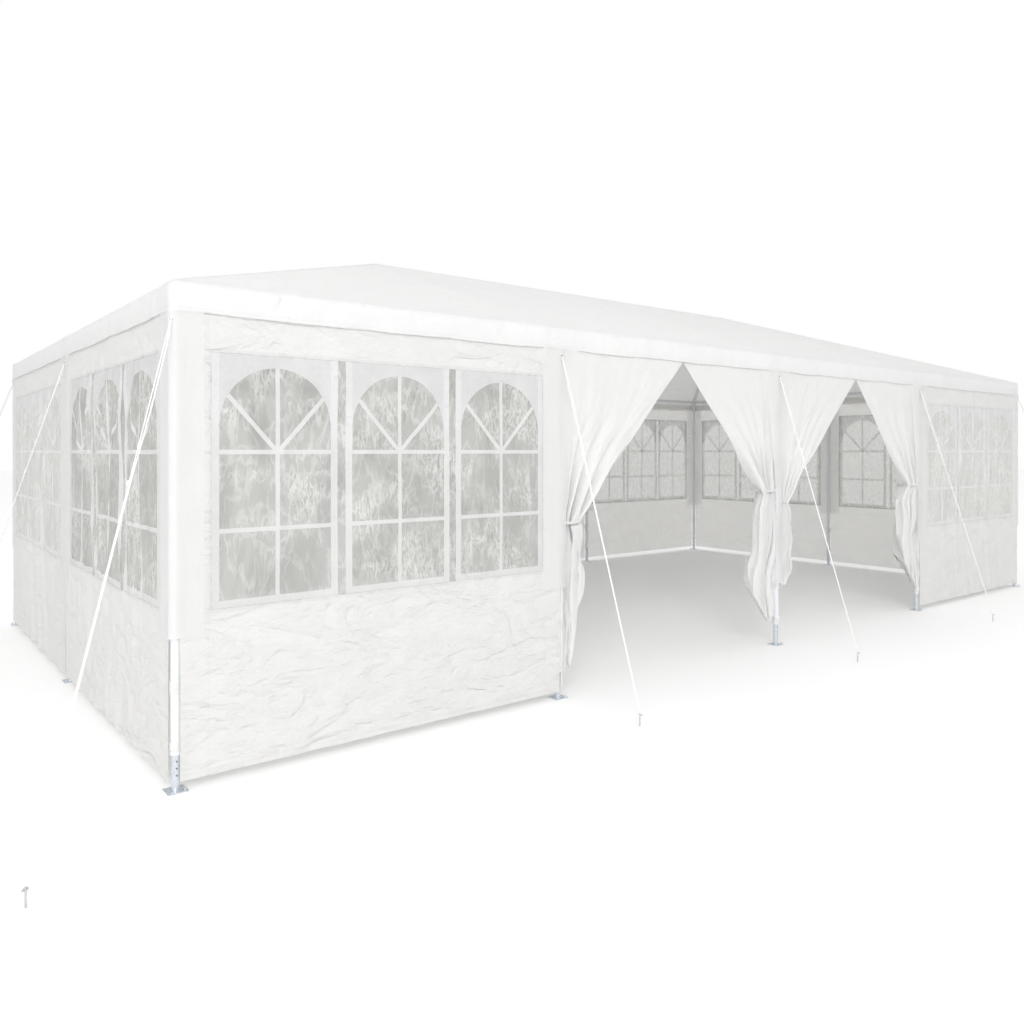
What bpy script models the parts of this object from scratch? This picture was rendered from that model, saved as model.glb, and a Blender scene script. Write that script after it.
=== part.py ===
"""Marquee tent, four by eight metres: a steel tube frame under a hipped sheet roof.

The origin is on the ground under the middle of the tent. +X runs along the long
side, -Y is the front with the two doorways, and +Z is up. Lengths are in metres.
"""

import math
import typing

import bmesh
import bpy
from mathutils import Vector

# Plan and heights
BAY = 2.0
LONG_BAYS = 4
SHORT_BAYS = 2
HALF_LENGTH = BAY * LONG_BAYS / 2
HALF_WIDTH = BAY * SHORT_BAYS / 2
EAVE_Z = 2.0
RIDGE_Z = 2.7
VALANCE_DROP = 0.12

# Clearance left between pieces that touch
GAP = 0.0003

# Tubes of the frame
TUBE_SIDES = 16
LEG_RADIUS = 0.019
BEAM_RADIUS = 0.016
SOCKET_RADIUS = 0.023
SOCKET_BOTTOM = 1.9
SOCKET_TOP = 1.9985
HUB_RADIUS = 0.03
HUB_HEIGHT = 0.075
HUB_RISE = 0.005

# Adjustable lower end of each leg
SHOE_TOP = 0.15
SHOE_RADIUS = 0.016
COLLAR_RADIUS = 0.0215
COLLAR_HEIGHT = 0.012
BUTTON_HOLE_RADIUS = 0.0035
BUTTON_HOLE_HEIGHTS = (0.064, 0.091, 0.118)
FOOT_PLATE_SIZE = 0.08
FOOT_PLATE_THICKNESS = 0.004
FOOT_BOLT_RADIUS = 0.005
FOOT_BOLT_HEIGHT = 0.012
FOOT_BOLT_INSET = 0.028

# Sheets: the walls hang outside the sockets, and the valance outside the walls
SHEET = 0.003
WALL_INNER = SOCKET_RADIUS + GAP
WALL_OUTER = WALL_INNER + SHEET
VALANCE_INNER = WALL_OUTER + GAP
VALANCE_OUTER = VALANCE_INNER + SHEET
WALL_TOP = 1.95
WALL_BOTTOM = 0.04
WALL_EDGE_FROM_LEG = 0.006
WALL_CORNER_LAP = 0.014

# Window strip in each wall
WINDOW_MARGIN = 0.13
WINDOW_BOTTOM = 0.70
WINDOW_TOP = 1.73
FILM_THICKNESS = 0.001

# Door curtains, tied back to the legs
CURTAIN_APEX_Z = 1.87
CURTAIN_APEX_GAP = 0.003
TIE_HALF_HEIGHT = 0.04
BUNDLE_START = LEG_RADIUS + 0.005
BUNDLE_THICKNESS = 0.05


class Drape(typing.NamedTuple):
    """How one curtain hangs: distances from its leg and heights, the lower points as (x, z)."""

    tie_z: float
    waist: float
    shoulder: tuple
    hip: tuple
    tip: tuple
    leg_z: float


DRAPES = {
    "left_door_curtain_left": Drape(0.94, 0.12, (0.145, 0.86), (0.10, 0.45), (0.04, 0.06), 0.08),
    "left_door_curtain_right": Drape(1.06, 0.18, (0.26, 0.95), (0.31, 0.42), (0.13, 0.21), 0.36),
    "right_door_curtain_left": Drape(0.98, 0.11, (0.18, 0.88), (0.17, 0.57), (0.06, 0.40), 0.42),
    "right_door_curtain_right": Drape(1.05, 0.20, (0.33, 0.93), (0.27, 0.42), (0.07, 0.20), 0.30),
}

# Guy ropes and their pegs
ROPE_RADIUS = 0.0025
ROPE_TOP_Z = 1.876
ROPE_BAND_HEIGHT = 0.006
ROPE_BAND_WALL = 0.0033
BORE_OVERRUN = 0.01
PEG_REACH = 0.6
PEG_RADIUS = 0.005
PEG_HEIGHT = 0.07
PEG_TIE_Z = 0.055

# Slope of all four roof planes, and how far a tube's axis lies under them
SLOPE = (RIDGE_Z - EAVE_Z) / (HALF_WIDTH + VALANCE_OUTER)
SLOPE_COS = math.cos(math.atan(SLOPE))
BEAM_DROP = (SHEET + GAP + BEAM_RADIUS) / SLOPE_COS
RIDGE_AXIS_Z = RIDGE_Z - BEAM_DROP
EAVE_AXIS_Z = RIDGE_AXIS_Z - SLOPE * HALF_WIDTH
RIDGE_END = HALF_LENGTH - HALF_WIDTH


def clear_scene():
    for old in list(bpy.data.objects):
        bpy.data.objects.remove(old, do_unlink=True)


def make_material(name, colour, roughness, metallic=0.0, alpha=1.0):
    material = bpy.data.materials.new(name)
    material.use_nodes = True
    shader = material.node_tree.nodes["Principled BSDF"]
    shader.inputs["Base Color"].default_value = (*colour, 1.0)
    shader.inputs["Roughness"].default_value = roughness
    shader.inputs["Metallic"].default_value = metallic
    shader.inputs["Alpha"].default_value = alpha
    return material


def finish_mesh(name, bm, material):
    """Turns a bmesh into a mesh with outward faces, smooth where it is round."""
    bmesh.ops.recalc_face_normals(bm, faces=bm.faces)
    mesh = bpy.data.meshes.new(name)
    bm.to_mesh(mesh)
    bm.free()
    mesh.materials.append(material)
    mesh.shade_smooth()
    mesh.set_sharp_from_angle(angle=math.radians(40))
    return mesh


def place(name, mesh, location=(0.0, 0.0, 0.0), turn=0.0):
    """Adds one object that shows the mesh, turned about the vertical."""
    obj = bpy.data.objects.new(name, mesh)
    bpy.context.collection.objects.link(obj)
    obj.location = location
    obj.rotation_euler = (0.0, 0.0, turn)
    return obj


def bridge_rings(bm, rings):
    """Skins a row of equal rings into one closed tube with flat ends."""
    for near, far in zip(rings, rings[1:]):
        for i in range(len(near)):
            k = (i + 1) % len(near)
            bm.faces.new((near[i], near[k], far[k], far[i]))
    bm.faces.new(list(reversed(rings[0])))
    bm.faces.new(rings[-1])


def upright(bm, radius, bottom, top, centre=(0.0, 0.0), sides=TUBE_SIDES):
    """Adds a vertical round bar."""
    rings = []
    for z in (bottom, top):
        ring = []
        for i in range(sides):
            angle = math.tau * (i + 0.5) / sides
            x = centre[0] + radius * math.cos(angle)
            y = centre[1] + radius * math.sin(angle)
            ring.append(bm.verts.new((x, y, z)))
        rings.append(ring)
    bridge_rings(bm, rings)


def sloped_bar(bm, radius, direction, near, far, z_of, sides=TUBE_SIDES):
    """Adds a round bar over a straight plan line, with ends cut plumb.

    near and far are plan distances from the origin, and z_of gives the axis height.
    """
    along = Vector((direction[0], direction[1], 0.0)).normalized()
    across = Vector((-along.y, along.x, 0.0))
    rise = math.atan2(z_of(far) - z_of(near), far - near)
    rings = []
    for distance in (near, far):
        middle = along * distance + Vector((0.0, 0.0, z_of(distance)))
        ring = []
        for i in range(sides):
            angle = math.tau * (i + 0.5) / sides
            side = across * (radius * math.cos(angle))
            lift = Vector((0.0, 0.0, radius * math.sin(angle) / math.cos(rise)))
            ring.append(bm.verts.new(middle + side + lift))
        rings.append(ring)
    bridge_rings(bm, rings)


def box(bm, low, high):
    """Adds a box between two corners."""
    x0, y0, z0 = low
    x1, y1, z1 = high
    lower = [bm.verts.new(p) for p in ((x0, y0, z0), (x1, y0, z0), (x1, y1, z0), (x0, y1, z0))]
    upper = [bm.verts.new(p) for p in ((x0, y0, z1), (x1, y0, z1), (x1, y1, z1), (x0, y1, z1))]
    bridge_rings(bm, [lower, upper])


def plate(bm, outline, inner, outer):
    """Adds an upright plate: an (x, z) outline between two distances out from y = 0."""
    back = [bm.verts.new((x, -inner, z)) for x, z in outline]
    front = [bm.verts.new((x, -outer, z)) for x, z in outline]
    bridge_rings(bm, [back, front])


def combine(name, material, additions, cuts=()):
    """Joins closed shapes into one body, then cuts others out of it.

    Each shape is a function that adds itself to the bmesh it is given.
    """
    shapes = []
    for number, add_shape in enumerate([*additions, *cuts]):
        bm = bmesh.new()
        add_shape(bm)
        shapes.append(place(f"{name}_shape_{number}", finish_mesh(name, bm, material)))
    body = shapes[0]
    for number, shape in enumerate(shapes[1:], start=1):
        modifier = body.modifiers.new("combine", "BOOLEAN")
        modifier.operation = "UNION" if number < len(additions) else "DIFFERENCE"
        modifier.solver = "EXACT"
        modifier.object = shape
    graph = bpy.context.evaluated_depsgraph_get()
    mesh = bpy.data.meshes.new_from_object(body.evaluated_get(graph))
    mesh.name = name
    for shape in shapes:
        bpy.data.objects.remove(shape, do_unlink=True)
    mesh.shade_smooth()
    mesh.set_sharp_from_angle(angle=math.radians(40))
    return mesh


def leg_places():
    """Every leg as (name, x, y, outward turn): turn 0 faces -Y."""
    places = []
    for i in range(LONG_BAYS + 1):
        x = -HALF_LENGTH + i * BAY
        end = {0: -1, LONG_BAYS: 1}.get(i, 0)
        places.append((f"front_{i + 1}", x, -HALF_WIDTH, end * math.pi / 4))
        places.append((f"back_{i + 1}", x, HALF_WIDTH, math.pi - end * math.pi / 4))
    for j in range(1, SHORT_BAYS):
        y = -HALF_WIDTH + j * BAY
        places.append((f"left_{j}", -HALF_LENGTH, y, -math.pi / 2))
        places.append((f"right_{j}", HALF_LENGTH, y, math.pi / 2))
    return places


def is_corner(x, y):
    return abs(x) == HALF_LENGTH and abs(y) == HALF_WIDTH


def make_legs(steel):
    """Round legs with a collar, a pierced lower end and a bolted foot plate."""
    half = FOOT_PLATE_SIZE / 2
    bolt_bottom = FOOT_PLATE_THICKNESS / 2
    bolt_top = FOOT_PLATE_THICKNESS + FOOT_BOLT_HEIGHT
    bolt_at = (FOOT_BOLT_INSET, -FOOT_BOLT_INSET)
    additions = [
        lambda bm: upright(bm, LEG_RADIUS, SHOE_TOP, SOCKET_BOTTOM - GAP),
        lambda bm: upright(bm, COLLAR_RADIUS, SHOE_TOP - COLLAR_HEIGHT / 2, SHOE_TOP + COLLAR_HEIGHT / 2),
        lambda bm: upright(bm, SHOE_RADIUS, bolt_bottom, SHOE_TOP),
        lambda bm: box(bm, (-half, -half, 0.0), (half, half, FOOT_PLATE_THICKNESS)),
        lambda bm: upright(bm, FOOT_BOLT_RADIUS, bolt_bottom, bolt_top, bolt_at, 8),
    ]

    def button_holes(bm):
        for height in BUTTON_HOLE_HEIGHTS:
            sloped_bar(
                bm, BUTTON_HOLE_RADIUS, (0, -1), -LEG_RADIUS, LEG_RADIUS, lambda _, z=height: z, sides=8
            )

    mesh = combine("leg", steel, additions, [button_holes])
    for name, x, y, turn in leg_places():
        if is_corner(x, y):
            turn = 0.0 if y < 0 else math.pi
        place(f"leg_{name}", mesh, (x, y, 0.0), turn)


def make_eave_rails(steel):
    """Eave tubes with a socket over each leg. The long rails carry the corner sockets."""

    def level(_):
        return EAVE_AXIS_Z

    def socket_at(x):
        return lambda bm: upright(bm, SOCKET_RADIUS, SOCKET_BOTTOM, SOCKET_TOP, (x, 0.0))

    long_parts = [lambda bm: sloped_bar(bm, BEAM_RADIUS, (1, 0), -HALF_LENGTH, HALF_LENGTH, level)]
    for i in range(LONG_BAYS + 1):
        long_parts.append(socket_at(-HALF_LENGTH + i * BAY))
    short_end = HALF_WIDTH - SOCKET_RADIUS - GAP
    short_parts = [lambda bm: sloped_bar(bm, BEAM_RADIUS, (1, 0), -short_end, short_end, level)]
    for j in range(1, SHORT_BAYS):
        short_parts.append(socket_at(-HALF_WIDTH + j * BAY))
    long_rail = combine("long_eave_rail", steel, long_parts)
    short_rail = combine("short_eave_rail", steel, short_parts)
    place("eave_rail_front", long_rail, (0.0, -HALF_WIDTH, 0.0))
    place("eave_rail_back", long_rail, (0.0, HALF_WIDTH, 0.0), math.pi)
    place("eave_rail_left", short_rail, (-HALF_LENGTH, 0.0, 0.0), -math.pi / 2)
    place("eave_rail_right", short_rail, (HALF_LENGTH, 0.0, 0.0), math.pi / 2)


def make_roof_frame(steel):
    """Rafters in one piece with the hub that joins them, and the ridge tubes between hubs."""
    hub_top = RIDGE_AXIS_Z + HUB_RISE
    rafter_end = HALF_WIDTH - SOCKET_RADIUS - GAP
    # A hip tube stops where it would meet the two eave rails of its corner.
    hip_end = (HALF_WIDTH - BEAM_RADIUS - GAP) * math.sqrt(2) - BEAM_RADIUS

    def hub(bm):
        upright(bm, HUB_RADIUS, hub_top - HUB_HEIGHT, hub_top)

    def arm(direction, far, slope):
        near = HUB_RADIUS / 2
        return lambda bm: sloped_bar(bm, BEAM_RADIUS, direction, near, far, lambda d: RIDGE_AXIS_Z - slope * d)

    rafters = [arm((0, -1), rafter_end, SLOPE), arm((0, 1), rafter_end, SLOPE)]
    end_arms = [arm((-1, 0), rafter_end, SLOPE)]
    end_arms += [arm((-1, y), hip_end, SLOPE / math.sqrt(2)) for y in (-1, 1)]
    middle = combine("middle_rafters", steel, [hub, *rafters])
    end = combine("end_rafters", steel, [hub, *rafters, *end_arms])
    place("roof_rafters_middle", middle)
    place("roof_rafters_left_end", end, (-RIDGE_END, 0.0, 0.0))
    place("roof_rafters_right_end", end, (RIDGE_END, 0.0, 0.0), math.pi)

    bm = bmesh.new()
    inner = HUB_RADIUS + GAP
    sloped_bar(bm, BEAM_RADIUS, (1, 0), inner, RIDGE_END - inner, lambda _: RIDGE_AXIS_Z)
    ridge = finish_mesh("ridge_tube", bm, steel)
    place("ridge_tube_left", ridge, (-RIDGE_END, 0.0, 0.0))
    place("ridge_tube_right", ridge)


def make_canopy(sheet):
    """Hipped roof sheet with a valance all round, thickened inwards."""
    x = HALF_LENGTH + VALANCE_OUTER
    y = HALF_WIDTH + VALANCE_OUTER
    corners = ((-x, -y), (x, -y), (x, y), (-x, y))
    bm = bmesh.new()
    hem = [bm.verts.new((*c, EAVE_Z - VALANCE_DROP)) for c in corners]
    eave = [bm.verts.new((*c, EAVE_Z)) for c in corners]
    left = bm.verts.new((-RIDGE_END, 0.0, RIDGE_Z))
    right = bm.verts.new((RIDGE_END, 0.0, RIDGE_Z))
    for i in range(4):
        k = (i + 1) % 4
        bm.faces.new((hem[i], hem[k], eave[k], eave[i]))
    bm.faces.new((eave[0], eave[1], right, left))
    bm.faces.new((eave[1], eave[2], right))
    bm.faces.new((eave[2], eave[3], left, right))
    bm.faces.new((eave[3], eave[0], left))
    canopy = place("canopy", finish_mesh("canopy", bm, sheet))
    canopy.data.shade_flat()
    thickness = canopy.modifiers.new("thickness", "SOLIDIFY")
    thickness.thickness = SHEET
    thickness.offset = -1.0
    thickness.use_even_offset = True
    thickness.use_quality_normals = True


def make_wall(name, side, bay, sheet, film):
    """One bay of wall with its window strip cut out, and the clear film that closes the strip.

    side is (turn, distance to the leg line, number of bays); a wall runs along local x.
    """
    turn, depth, bays = side
    start = -bays * BAY / 2 + (bay - 1) * BAY
    end = start + BAY
    left = start - WALL_CORNER_LAP if bay == 1 else start + WALL_EDGE_FROM_LEG
    right = end + WALL_CORNER_LAP if bay == bays else end - WALL_EDGE_FROM_LEG
    window_left = start + WINDOW_MARGIN
    window_right = end - WINDOW_MARGIN

    bm = bmesh.new()
    rings = []
    for out in (depth + WALL_INNER, depth + WALL_OUTER):
        outer = ((left, WALL_BOTTOM), (right, WALL_BOTTOM), (right, WALL_TOP), (left, WALL_TOP))
        inner = (
            (window_left, WINDOW_BOTTOM),
            (window_right, WINDOW_BOTTOM),
            (window_right, WINDOW_TOP),
            (window_left, WINDOW_TOP),
        )
        rings.append([[bm.verts.new((x, -out, z)) for x, z in loop] for loop in (outer, inner)])
    (back_outer, back_inner), (front_outer, front_inner) = rings
    for i in range(4):
        k = (i + 1) % 4
        bm.faces.new((back_outer[i], back_outer[k], back_inner[k], back_inner[i]))
        bm.faces.new((front_outer[i], front_outer[k], front_inner[k], front_inner[i]))
        bm.faces.new((back_outer[i], back_outer[k], front_outer[k], front_outer[i]))
        bm.faces.new((back_inner[i], back_inner[k], front_inner[k], front_inner[i]))
    place(f"wall_{name}_{bay}", finish_mesh(f"wall_{name}_{bay}", bm, sheet), turn=turn)

    bm = bmesh.new()
    middle = depth + (WALL_INNER + WALL_OUTER) / 2
    box(
        bm,
        (window_left + GAP, -middle - FILM_THICKNESS / 2, WINDOW_BOTTOM + GAP),
        (window_right - GAP, -middle + FILM_THICKNESS / 2, WINDOW_TOP - GAP),
    )
    place(f"window_film_{name}_{bay}", finish_mesh(f"window_film_{name}_{bay}", bm, film), turn=turn)


def make_curtain(name, leg_x, reach, sheet):
    """Half of a parted doorway sheet: drawn from the middle of the bay to the leg, and tied.

    reach is 1 where the curtain runs towards +X from its leg, and -1 towards -X.
    """
    drape = DRAPES[name]

    def outline(points):
        return [(leg_x + reach * x, z) for x, z in points]

    middle = BAY / 2 - CURTAIN_APEX_GAP
    drawn = outline(
        (
            (WALL_EDGE_FROM_LEG, WALL_TOP),
            (middle, WALL_TOP),
            (middle, CURTAIN_APEX_Z),
            (drape.waist, drape.tie_z),
            (WALL_EDGE_FROM_LEG, drape.tie_z),
        )
    )
    bundle = outline(
        (
            (BUNDLE_START, drape.tie_z + TIE_HALF_HEIGHT),
            (drape.waist, drape.tie_z + TIE_HALF_HEIGHT),
            (drape.waist, drape.tie_z - TIE_HALF_HEIGHT),
            drape.shoulder,
            drape.hip,
            drape.tip,
            (BUNDLE_START, drape.leg_z),
        )
    )
    additions = [
        lambda bm: plate(bm, drawn, HALF_WIDTH + WALL_INNER, HALF_WIDTH + WALL_OUTER),
        lambda bm: plate(bm, bundle, HALF_WIDTH, HALF_WIDTH + BUNDLE_THICKNESS),
    ]
    place(name, combine(name, sheet, additions))


def make_guy_ropes(rope):
    """A taut rope from a band round each leg top to its peg, fanned out at the corners."""

    def rope_mesh(name, reach):
        band_outer = LEG_RADIUS + GAP + ROPE_BAND_WALL
        band_low = ROPE_TOP_Z - ROPE_BAND_HEIGHT / 2
        band_high = ROPE_TOP_Z + ROPE_BAND_HEIGHT / 2
        near = LEG_RADIUS + GAP + ROPE_RADIUS / 2
        fall = (ROPE_TOP_Z - PEG_TIE_Z) / (reach - near)
        additions = [
            lambda bm: upright(bm, band_outer, band_low, band_high),
            lambda bm: sloped_bar(
                bm, ROPE_RADIUS, (0, -1), near, reach, lambda d: ROPE_TOP_Z - fall * (d - near), sides=8
            ),
            lambda bm: upright(bm, PEG_RADIUS, 0.0, PEG_HEIGHT, (0.0, -reach), 8),
        ]

        def bore(bm):
            upright(bm, LEG_RADIUS + GAP, band_low - BORE_OVERRUN, band_high + BORE_OVERRUN)

        return combine(name, rope, additions, [bore])

    straight = rope_mesh("side_guy_rope", PEG_REACH)
    corner = rope_mesh("corner_guy_rope", PEG_REACH * math.sqrt(2))
    for name, x, y, turn in leg_places():
        place(f"guy_rope_{name}", corner if is_corner(x, y) else straight, (x, y, 0.0), turn)


def main():
    clear_scene()
    steel = make_material("white_tube", (0.80, 0.82, 0.84), 0.35, 0.2)
    roof_sheet = make_material("roof_sheet", (0.88, 0.90, 0.89), 0.55)
    wall_sheet = make_material("wall_sheet", (0.90, 0.90, 0.90), 0.55)
    curtain_sheet = make_material("curtain_sheet", (0.90, 0.90, 0.89), 0.55)
    film = make_material("clear_film", (0.75, 0.77, 0.76), 0.12, alpha=0.4)
    rope = make_material("guy_rope", (0.85, 0.85, 0.84), 0.7)

    make_legs(steel)
    make_eave_rails(steel)
    make_roof_frame(steel)
    make_canopy(roof_sheet)
    sides = {
        "front": ((0.0, HALF_WIDTH, LONG_BAYS), (1, 4)),
        "right": ((math.pi / 2, HALF_LENGTH, SHORT_BAYS), (1, 2)),
        "back": ((math.pi, HALF_WIDTH, LONG_BAYS), (1, 2, 3, 4)),
        "left": ((-math.pi / 2, HALF_LENGTH, SHORT_BAYS), (1, 2)),
    }
    for name, (side, window_bays) in sides.items():
        for bay in window_bays:
            make_wall(name, side, bay, wall_sheet, film)
    for door, first_leg_x in (("left_door", -BAY), ("right_door", 0.0)):
        make_curtain(f"{door}_curtain_left", first_leg_x, 1, curtain_sheet)
        make_curtain(f"{door}_curtain_right", first_leg_x + BAY, -1, curtain_sheet)
    make_guy_ropes(rope)


main()
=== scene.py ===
"""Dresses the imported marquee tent: its sheets, printed windows, curtains, ropes and finishes.

Lengths are metres in the tent's own frame: the origin is on the ground under the middle,
+X runs along the long side, -Y is the front with the two doorways, and +Z is up.
"""

import enum
import logging
import math
from collections.abc import Callable
from dataclasses import dataclass, field

import bmesh
import bpy
import numpy as np
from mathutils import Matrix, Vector


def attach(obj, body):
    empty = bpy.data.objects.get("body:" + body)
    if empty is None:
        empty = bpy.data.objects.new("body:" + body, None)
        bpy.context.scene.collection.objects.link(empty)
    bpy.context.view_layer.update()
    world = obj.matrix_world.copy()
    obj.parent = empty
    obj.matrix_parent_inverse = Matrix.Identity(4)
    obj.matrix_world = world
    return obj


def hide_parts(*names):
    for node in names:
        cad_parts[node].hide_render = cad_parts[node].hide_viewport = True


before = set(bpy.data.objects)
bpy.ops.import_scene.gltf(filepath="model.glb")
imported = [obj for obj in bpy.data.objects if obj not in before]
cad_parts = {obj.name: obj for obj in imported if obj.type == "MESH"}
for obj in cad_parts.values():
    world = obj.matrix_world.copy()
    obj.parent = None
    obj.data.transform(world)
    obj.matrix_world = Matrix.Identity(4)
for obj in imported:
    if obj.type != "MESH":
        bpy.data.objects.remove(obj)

LOG = logging.getLogger("marquee_tent")
BODY = "root"
FLAT_MAP = "flat"

# The tent's plan and heights, as in the part's source
BAY = 2.0
HALF_LENGTH = 4.0
HALF_WIDTH = 2.0
EAVE_Z = 2.0
RIDGE_Z = 2.7
RIDGE_END = HALF_LENGTH - HALF_WIDTH
VALANCE_DROP = 0.12
VALANCE_OUT = 0.0296
WALL_OUT = 0.0263
WALL_TOP = 1.95
WALL_BOTTOM = 0.04
STRIP_MARGIN = 0.13
STRIP_BOTTOM = 0.70
STRIP_TOP = 1.73
SLOPE = (RIDGE_Z - EAVE_Z) / (HALF_WIDTH + VALANCE_OUT)


def clear_selection() -> None:
    """Leaves edit mode and selects nothing, so that an operator acts on new pieces only."""
    if bpy.context.object and bpy.context.object.mode != "OBJECT":
        bpy.ops.object.mode_set(mode="OBJECT")
    bpy.ops.object.select_all(action="DESELECT")


def select_only(*pieces: bpy.types.Object) -> None:
    """Selects these pieces and makes the first one active."""
    clear_selection()
    for piece in pieces:
        piece.select_set(True)
    bpy.context.view_layer.objects.active = pieces[0]


def apply_modifier(piece: bpy.types.Object, kind: str, **settings: object) -> None:
    """Adds a modifier, sets it and applies it.

    Args:
        piece: The object that gets it.
        kind: Blender's name for the modifier.
        settings: The modifier's values by name.
    """
    select_only(piece)
    bpy.ops.object.modifier_add(type=kind)
    modifier = piece.modifiers[-1]
    for name, value in settings.items():
        setattr(modifier, name, value)
    bpy.ops.object.modifier_apply(modifier=modifier.name)


def join(pieces: list[bpy.types.Object], weld: float = 0.0) -> bpy.types.Object:
    """Joins pieces into the first one.

    Args:
        pieces: The objects to join.
        weld: The distance under which their points merge, or 0 for none.

    Returns:
        The joined object.
    """
    select_only(*pieces)
    if len(pieces) > 1:
        bpy.ops.object.join()
    whole = bpy.context.object
    if weld:
        bpy.ops.object.mode_set(mode="EDIT")
        bpy.ops.mesh.select_all(action="SELECT")
        bpy.ops.mesh.remove_doubles(threshold=weld)
        bpy.ops.object.mode_set(mode="OBJECT")
    return whole


def cloth_grid(points: np.ndarray, flat: np.ndarray) -> bpy.types.Object:
    """Lays a grid primitive out as cloth.

    Args:
        points: Where each point of the grid hangs, as rows x columns x 3.
        flat: Where it lies on the uncut cloth, as rows x columns x 2.

    Returns:
        The new object, with the flat places as its UV map.
    """
    rows, columns = points.shape[:2]
    clear_selection()
    bpy.ops.mesh.primitive_grid_add(x_subdivisions=columns - 1, y_subdivisions=rows - 1, size=1.0)
    grid = bpy.context.object
    mesh = grid.data
    mesh.vertices.foreach_set("co", np.ascontiguousarray(points, dtype=np.float32).reshape(-1))
    corners = np.empty(len(mesh.loops), dtype=np.int32)
    mesh.loops.foreach_get("vertex_index", corners)
    layer = mesh.uv_layers.active
    layer.name = FLAT_MAP
    layer.data.foreach_set("uv", flat.reshape(-1, 2)[corners].astype(np.float32).reshape(-1))
    mesh.update()
    return grid


def thicken(piece: bpy.types.Object, thickness: float, smooth_angle: float = 60.0) -> None:
    """Gives a sheet its thickness, inwards, and smooth shading with crisp rims."""
    apply_modifier(piece, "SOLIDIFY", thickness=thickness, offset=-1.0)
    select_only(piece)
    bpy.ops.object.shade_smooth_by_angle(angle=math.radians(smooth_angle))


def finish_piece(
    piece: bpy.types.Object, name: str, materials: list[bpy.types.Material]
) -> bpy.types.Object:
    """Names a piece, dresses it and lets it ride on the tent.

    Args:
        piece: The finished mesh object.
        name: Its name in the model.
        materials: Its materials, or none where the mesh already has them.

    Returns:
        The same object.
    """
    piece.name = piece.data.name = name
    if materials:
        piece.data.materials.clear()
        for material in materials:
            piece.data.materials.append(material)
    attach(piece, BODY)
    LOG.info("%s: %d faces", name, len(piece.data.polygons))
    return piece


def ease(x: np.ndarray | float, low: float, high: float) -> np.ndarray:
    """A smooth step from 0 at low to 1 at high."""
    t = np.clip((np.asarray(x, dtype=float) - low) / (high - low), 0.0, 1.0)
    return t * t * (3.0 - 2.0 * t)


@dataclass(frozen=True)
class Ripple:
    """The soft folds of a hung sheet: seeded waves that bend each other."""

    seed: int
    across: float
    down: float
    waves: int = 6
    spread: float = 0.5

    def __call__(self, x: np.ndarray, z: np.ndarray) -> np.ndarray:
        """Gives the height of the folds, mostly between -1 and 1, at places on the flat sheet."""
        dice = np.random.default_rng(self.seed)
        x = np.asarray(x, dtype=float)
        z = np.asarray(z, dtype=float)
        x = x + 0.22 * self.across * np.sin(math.tau * z / self.down * 0.8 + dice.uniform(0, 6))
        z = z + 0.22 * self.down * np.sin(math.tau * x / self.across * 0.7 + dice.uniform(0, 6))
        total = np.zeros(np.broadcast(x, z).shape)
        for number in range(self.waves):
            scale = 1.0 + self.spread * number
            lean = dice.normal(0.0, 0.35)
            turn = math.tau * scale * dice.uniform(0.8, 1.25)
            phase = dice.uniform(0.0, math.tau)
            wave = np.sin(turn * (x / self.across + lean * z / self.down) + phase)
            drift = np.sin(turn * 0.6 * z / self.down + dice.uniform(0.0, math.tau))
            total += wave * (0.6 + 0.4 * drift) / scale
        return total / 1.8


class Side(enum.Enum):
    """The four sides of the tent, as (turn, distance to the leg line, number of bays)."""

    FRONT = (0.0, HALF_WIDTH, 4)
    RIGHT = (math.pi / 2, HALF_LENGTH, 2)
    BACK = (math.pi, HALF_WIDTH, 4)
    LEFT = (-math.pi / 2, HALF_LENGTH, 2)

    @property
    def title(self) -> str:
        """The side's name as the nodes have it."""
        return self.name.lower()

    def start(self, bay: int) -> float:
        """Where a bay begins along the side, seen from outside and from left to right."""
        return -self.value[2] * BAY / 2 + (bay - 1) * BAY

    def place(self, x: np.ndarray, out: np.ndarray, z: np.ndarray) -> np.ndarray:
        """Turns places on the side into places in the tent's frame.

        Args:
            x: Distance along the side.
            out: Distance outwards from the leg line.
            z: Height.

        Returns:
            The points, with one more axis of three.
        """
        turn, depth, _ = self.value
        x, out, z = np.broadcast_arrays(x, depth + np.asarray(out, dtype=float), z)
        along, away = (math.cos(turn), math.sin(turn)), (math.sin(turn), -math.cos(turn))
        return np.stack((x * along[0] + out * away[0], x * along[1] + out * away[1], z), axis=-1)


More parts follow.
